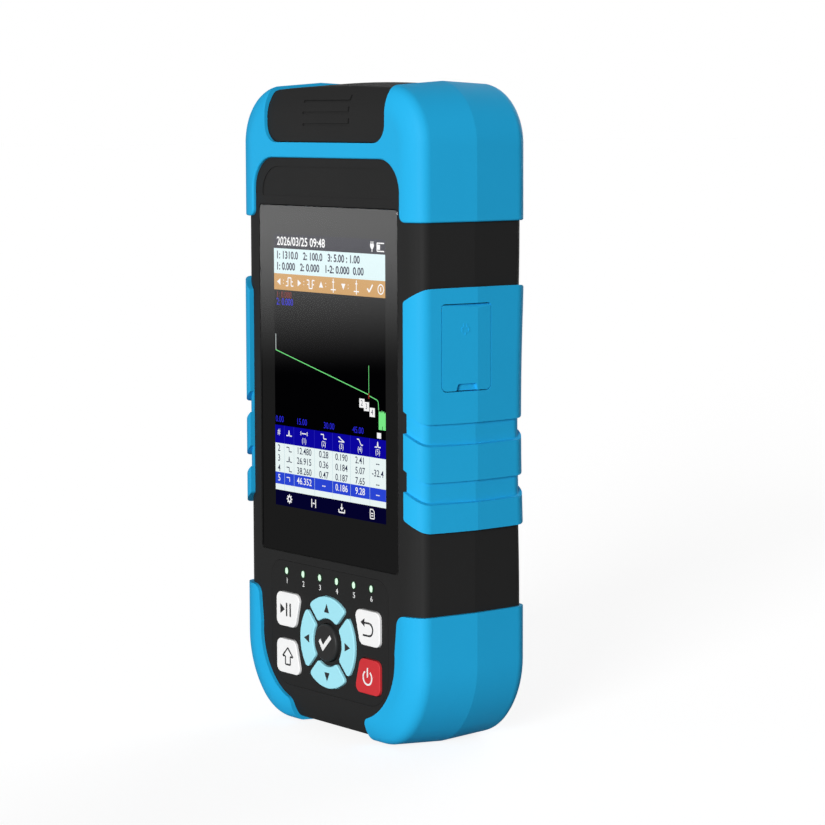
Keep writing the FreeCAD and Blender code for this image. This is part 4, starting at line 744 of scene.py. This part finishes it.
def back_sign(bm, x, z):
    """Arrow that turns back to the left."""
    bend = (x + BACK_MIDDLE[0], z + BACK_MIDDLE[1])
    ring(bm, bend, BACK_TURN_R - ARROW_LINE / 2, BACK_TURN_R + ARROW_LINE / 2, -90, 180, 16)
    for run in (BACK_UPPER, BACK_LOWER):
        stroke(bm, *about(run, x, z), ARROW_LINE)
    polygon(bm, about(BACK_HEAD, x, z))


def power_sign(bm, x, z):
    """Broken ring with a bar."""
    ring(bm, (x, z - POWER_DROP), POWER_RING_R - POWER_LINE / 2, POWER_RING_R + POWER_LINE / 2,
         90 + POWER_OPENING / 2, 360 - POWER_OPENING, 24)
    left, base, right, top = POWER_BAR
    rectangle(bm, x + left, z + base, x + right, z + top)


def tick_sign(bm, x, z):
    polygon(bm, about(TICK_OUTLINE, x, z))


def arrow_sign(turn_deg):
    """Tall triangle that points outwards from the direction pad."""
    corners = ((-DIRECTION_HALF_WIDTH, DIRECTION_OUT - DIRECTION_HALF_HEIGHT),
               (DIRECTION_HALF_WIDTH, DIRECTION_OUT - DIRECTION_HALF_HEIGHT),
               (0, DIRECTION_OUT + DIRECTION_HALF_HEIGHT))

    def draw(bm, x, z):
        turn = Matrix.Rotation(math.radians(turn_deg), 2)
        polygon(bm, about([turn @ Vector(corner) for corner in corners], x, z))
    return draw


LEGENDS = (
    ("play_legend", "play_key", play_sign, DARK_INK),
    ("shift_legend", "shift_key", shift_sign, DARK_INK),
    ("back_legend", "back_key", back_sign, DARK_INK),
    ("power_legend", "power_key", power_sign, WHITE_INK),
    ("tick_legend", "ok_key", tick_sign, WHITE_INK),
    ("up_legend", "up_key", arrow_sign(0), DARK_INK),
    ("left_legend", "left_key", arrow_sign(90), DARK_INK),
    ("down_legend", "down_key", arrow_sign(180), DARK_INK),
    ("right_legend", "right_key", arrow_sign(270), DARK_INK),
)
for name, key, draw, ink in LEGENDS:
    legend(name, key, draw, ink)


# ---------------------------------------------------------------- status lenses
LENS_COUNT = 6
LENS_OPENING = 0.97                     # part of the lens's radius left open, upwards
LENS_NARROW = 0.72                      # and how much narrower the opening is
LENS_RIM = 0.18
NUMBER_DROP = 3.4                       # numbers under the lenses
NUMBER_HEIGHT = 2.7


def lens_bezel(bm, middle, radius):
    """Thin dark rim round a lens; its opening is narrower than it is tall."""
    rim = bmesh.new()
    ring(rim, (0, 0), radius * LENS_OPENING, radius + LENS_RIM)
    inner = [v for v in rim.verts if v.co.length < radius * (1 + LENS_OPENING) / 2]
    bmesh.ops.scale(rim, vec=(LENS_NARROW, 1, 1), verts=inner)
    bmesh.ops.translate(rim, vec=(middle[0], 0, middle[1]), verts=rim.verts)
    piece = bpy.data.meshes.new("bezel")
    rim.to_mesh(piece)
    rim.free()
    bm.from_mesh(piece)
    bpy.data.meshes.remove(piece)


def lens_prints():
    """Numbers under the lenses, and a rim round each."""
    radius = (LENS_HIGH.z - LENS_LOW.z) / MM / 2
    first = LENS_LOW.x / MM + radius
    pitch = (LENS_HIGH.x / MM - radius - first) / (LENS_COUNT - 1)
    level = (LENS_LOW.z + LENS_HIGH.z) / MM / 2
    numbers = bmesh.new()
    rims = bmesh.new()
    for i in range(LENS_COUNT):
        x = first + i * pitch
        figures(numbers, str(i + 1), x, level - NUMBER_DROP, NUMBER_HEIGHT, "CENTER", 1.0, 0.03)
        lens_bezel(rims, (x, level), radius)
    panel_front = PANEL_LOW.y / MM
    print_piece("lens_numbers", numbers, panel_front - LEGEND_PROUD, LEGEND_DEEP, WHITE_INK, CASE)
    rim_front = LENS_LOW.y / MM - LEGEND_PROUD
    print_piece("lens_rims", rims, rim_front, panel_front + LEGEND_DEEP - rim_front, GREEN_INK, CASE)


lens_prints()

# ---------------------------------------------------------------- ceramic sleeves in the ports
SLEEVE_BORE_R = 1.25
SLEEVE_WALL = 0.55
SLEEVE_RISE = 0.25                      # above the port's rim
SLEEVE_SUNK = 0.2                       # and below it


def port_sleeve(port):
    low, high = node_box(port)
    sleeve = bmesh.new()
    ring(sleeve, (0, 0), SLEEVE_BORE_R, SLEEVE_BORE_R + SLEEVE_WALL)
    lying = Matrix.Rotation(math.radians(-90), 3, "X")
    bmesh.ops.rotate(sleeve, cent=(0, 0, 0), matrix=lying, verts=sleeve.verts)
    bmesh.ops.recalc_face_normals(sleeve, faces=sleeve.faces)
    grown = bmesh.ops.extrude_face_region(sleeve, geom=sleeve.faces[:])
    tops = [v for v in grown["geom"] if isinstance(v, bmesh.types.BMVert)]
    bmesh.ops.translate(sleeve, vec=(0, 0, SLEEVE_RISE + SLEEVE_SUNK), verts=tops)
    bmesh.ops.recalc_face_normals(sleeve, faces=sleeve.faces)
    foot = ((low.x + high.x) / 2, (low.y + high.y) / 2, high.z - SLEEVE_SUNK)
    bmesh.ops.translate(sleeve, vec=foot, verts=sleeve.verts)
    new_piece(port.replace("port", "sleeve"), sleeve, SLEEVE, CASE)


for port in ("power_meter_port", "otdr_port", "fault_light_port"):
    port_sleeve(port)

# ---------------------------------------------------------------- plug sign moulded on the side flap
SIGN_START = Vector((0.1, -0.0042, 0.1376))  # point to the right of the flap, level with the sign
SIGN_PROUD = 0.12
SIGN_LINE = 0.4
SIGN_RUNS = (((-1.3, -0.9), (-1.3, 0.4), (1.3, 0.4), (1.3, -0.9), (-1.3, -0.9)), ((-0.6, 0.6), (-0.6, 1.7)),
             ((0.6, 0.6), (0.6, 1.7)), ((0, -1.1), (0, -1.9)))


def plug_sign():
    flap = frame["nodes"]["side_flap"]
    _, spot, way, _ = flap.ray_cast(SIGN_START, Vector((-1, 0, 0)))
    plug = bmesh.new()
    for run in SIGN_RUNS:
        polyline(plug, run, SIGN_LINE)
    thickened(plug, -SIGN_PROUD, 2 * SIGN_PROUD)
    turn = Vector((0, -1, 0)).rotation_difference(way).to_matrix()
    bmesh.ops.rotate(plug, cent=(0, 0, 0), matrix=turn, verts=plug.verts)
    bmesh.ops.translate(plug, vec=spot / MM, verts=plug.verts)
    new_piece("plug_sign", plug, FINISHES["blue_overmould"], "side_flap")


plug_sign()

# ---------------------------------------------------------------- floor, light and camera
AMBIENT = 0.12
WHITE_LEVEL = 1.0                       # background where it shows
MIRRORED_SHARE = 0.15                   # of the background in what mirrors it, as a studio's dark side
FLOOR_SIZE = 30.0
FLOOR_GLOW = 0.85                       # what the sweep gives by itself where it shows
CARD_WAY = Vector((-0.794, -0.607, 0.0))  # from the window to the card: where the camera's view mirrors to
CARD_DISTANCE = 0.3
CARD_HALF_WIDTH = 0.10
CARD_SOLID_SHARE = 0.5                  # part of the card's half width over which it is solid
CARD_TOP_Z = 0.2
CARD_DARK_Z = 0.092                     # the card is dark below this height and bright above the next
CARD_BRIGHT_Z = 0.163
CARD_LEVEL = 1.9


def shows_background(tree):
    """1 for rays that show the background straight or through the window, less for mirrored ones."""
    path = add_node(tree, "ShaderNodeLightPath")
    mirrored = add_node(tree, "ShaderNodeMath", {"operation": "MULTIPLY"}, {
        0: path.outputs["Is Glossy Ray"], 1: MIRRORED_SHARE})
    straight = add_node(tree, "ShaderNodeMath", {"operation": "MAXIMUM"}, {
        0: path.outputs["Is Camera Ray"], 1: path.outputs["Is Transmission Ray"]})
    seen = add_node(tree, "ShaderNodeMath", {"operation": "MAXIMUM"}, {
        0: straight.outputs["Value"], 1: mirrored.outputs["Value"]})
    return seen.outputs["Value"]


def studio_world():
    world = bpy.data.worlds.new("studio")
    bpy.context.scene.world = world
    world.use_nodes = True
    tree = world.node_tree
    tree.nodes.clear()
    light = add_node(tree, "ShaderNodeBackground", inputs={"Color": (1, 1, 1, 1), "Strength": AMBIENT})
    backdrop = add_node(tree, "ShaderNodeBackground", inputs={
        "Color": (1, 1, 1, 1), "Strength": WHITE_LEVEL})
    mix = add_node(tree, "ShaderNodeMixShader", inputs={
        0: shows_background(tree), 1: light.outputs["Background"], 2: backdrop.outputs["Background"]})
    add_node(tree, "ShaderNodeOutputWorld", inputs={"Surface": mix.outputs["Shader"]})


def stage_piece(name, bm, material):
    """Object that isn't part of the product, from a finished form in metres."""
    mesh = bpy.data.meshes.new(name)
    bm.to_mesh(mesh)
    bm.free()
    mesh.materials.append(material)
    made = bpy.data.objects.new(name, mesh)
    bpy.context.scene.collection.objects.link(made)
    return made


def floor():
    """Pale paper sweep: it looks white where it is lit, and keeps the shadow."""
    made, tree = new_material("white_paper_sweep")
    paper = add_node(tree, "ShaderNodeBsdfDiffuse", inputs={"Color": srgb("#9C9C9C")})
    lift = add_node(tree, "ShaderNodeMath", {"operation": "MULTIPLY"}, {
        0: shows_background(tree), 1: FLOOR_GLOW})
    glow = add_node(tree, "ShaderNodeEmission", inputs={
        "Color": (1, 1, 1, 1), "Strength": lift.outputs["Value"]})
    both = add_node(tree, "ShaderNodeAddShader", inputs={
        0: paper.outputs["BSDF"], 1: glow.outputs["Emission"]})
    add_node(tree, "ShaderNodeOutputMaterial", inputs={"Surface": both.outputs["Shader"]})
    bm = bmesh.new()
    bmesh.ops.create_grid(bm, x_segments=1, y_segments=1, size=FLOOR_SIZE / 2)
    stage_piece("floor", bm, made)


def softbox(name, turn_deg, height_deg, level, spread_deg):
    """Large soft light, turn_deg to the right of straight ahead, that lights a facing surface to level."""
    lamp = bpy.data.lights.new(name, "SUN")
    lamp.energy = level * math.pi
    lamp.angle = math.radians(spread_deg)
    made = bpy.data.objects.new(name, lamp)
    bpy.context.scene.collection.objects.link(made)
    made.rotation_euler = (math.radians(90 - height_deg), 0, math.radians(turn_deg))


def card_material(middle, sideways):
    """Dark at the card's foot, bright at its top, and clear towards its sides."""
    made, tree = new_material("window_light_card")
    place = add_node(tree, "ShaderNodeTexCoord").outputs["Object"]
    height = add_node(tree, "ShaderNodeSeparateXYZ", inputs={"Vector": place}).outputs["Z"]
    fade = add_node(tree, "ShaderNodeMapRange", {"interpolation_type": "SMOOTHSTEP"}, {
        "Value": height, "From Min": CARD_DARK_Z, "From Max": CARD_BRIGHT_Z,
        "To Min": 0.0, "To Max": CARD_LEVEL})
    glow = add_node(tree, "ShaderNodeEmission", inputs={
        "Color": (1, 1, 1, 1), "Strength": fade.outputs["Result"]})
    along = add_node(tree, "ShaderNodeVectorMath", {"operation": "DOT_PRODUCT"}, {0: place, 1: sideways})
    from_middle = add_node(tree, "ShaderNodeMath", {"operation": "SUBTRACT"}, {
        0: along.outputs["Value"], 1: middle.dot(sideways)})
    distance = add_node(tree, "ShaderNodeMath", {"operation": "ABSOLUTE"}, {0: from_middle.outputs["Value"]})
    solid = add_node(tree, "ShaderNodeMapRange", {"interpolation_type": "SMOOTHSTEP"}, {
        "Value": distance.outputs["Value"], "From Min": CARD_HALF_WIDTH,
        "From Max": CARD_HALF_WIDTH * CARD_SOLID_SHARE})
    clear = add_node(tree, "ShaderNodeBsdfTransparent")
    soft = add_node(tree, "ShaderNodeMixShader", inputs={
        0: solid.outputs["Result"], 1: clear.outputs["BSDF"], 2: glow.outputs["Emission"]})
    add_node(tree, "ShaderNodeOutputMaterial", inputs={"Surface": soft.outputs["Shader"]})
    return made


def window_light_card():
    """Upright card that only mirrors show: it gives the window the sheen at its top."""
    middle = (GLASS_LOW + GLASS_HIGH) / 2 + CARD_DISTANCE * CARD_WAY
    sideways = Vector((-CARD_WAY.y, CARD_WAY.x, 0))
    bm = bmesh.new()
    corners = [Vector((middle.x, middle.y, z)) + side * CARD_HALF_WIDTH * sideways
               for side, z in ((-1, 0), (1, 0), (1, CARD_TOP_Z), (-1, CARD_TOP_Z))]
    bm.faces.new([bm.verts.new(corner) for corner in corners])
    card = stage_piece("window_light_card", bm, card_material(middle, sideways))
    card.visible_camera = False
    card.visible_diffuse = False
    card.visible_transmission = False
    card.visible_shadow = False


studio_world()
floor()
window_light_card()
softbox("key_softbox", turn_deg=32.0, height_deg=11.0, level=1.0, spread_deg=20.0)
softbox("rear_softbox", turn_deg=205.0, height_deg=11.0, level=0.7, spread_deg=40.0)

VIEW_TURN = math.radians(52.568)        # camera to the right of straight ahead
VIEW_DROP = math.radians(5.969)         # and looking down
VIEW_ROLL = math.radians(-0.167)
VIEW_DISTANCE = 0.9548
VIEW_AIM = Vector((0.0112, 0.0050, 0.1070))
LENS = 125.5
SENSOR_WIDTH = 36.0


def camera():
    data = bpy.data.cameras.new("camera")
    data.lens = LENS
    data.sensor_width = SENSOR_WIDTH
    made = bpy.data.objects.new("camera", data)
    bpy.context.scene.collection.objects.link(made)
    turn = (Matrix.Rotation(VIEW_TURN, 4, "Z") @ Matrix.Rotation(math.pi / 2 - VIEW_DROP, 4, "X")
            @ Matrix.Rotation(VIEW_ROLL, 4, "Z"))
    made.matrix_world = Matrix.Translation(VIEW_AIM) @ turn @ Matrix.Translation((0, 0, VIEW_DISTANCE))
    bpy.context.scene.camera = made


camera()
bpy.context.scene.view_settings.view_transform = "Standard"
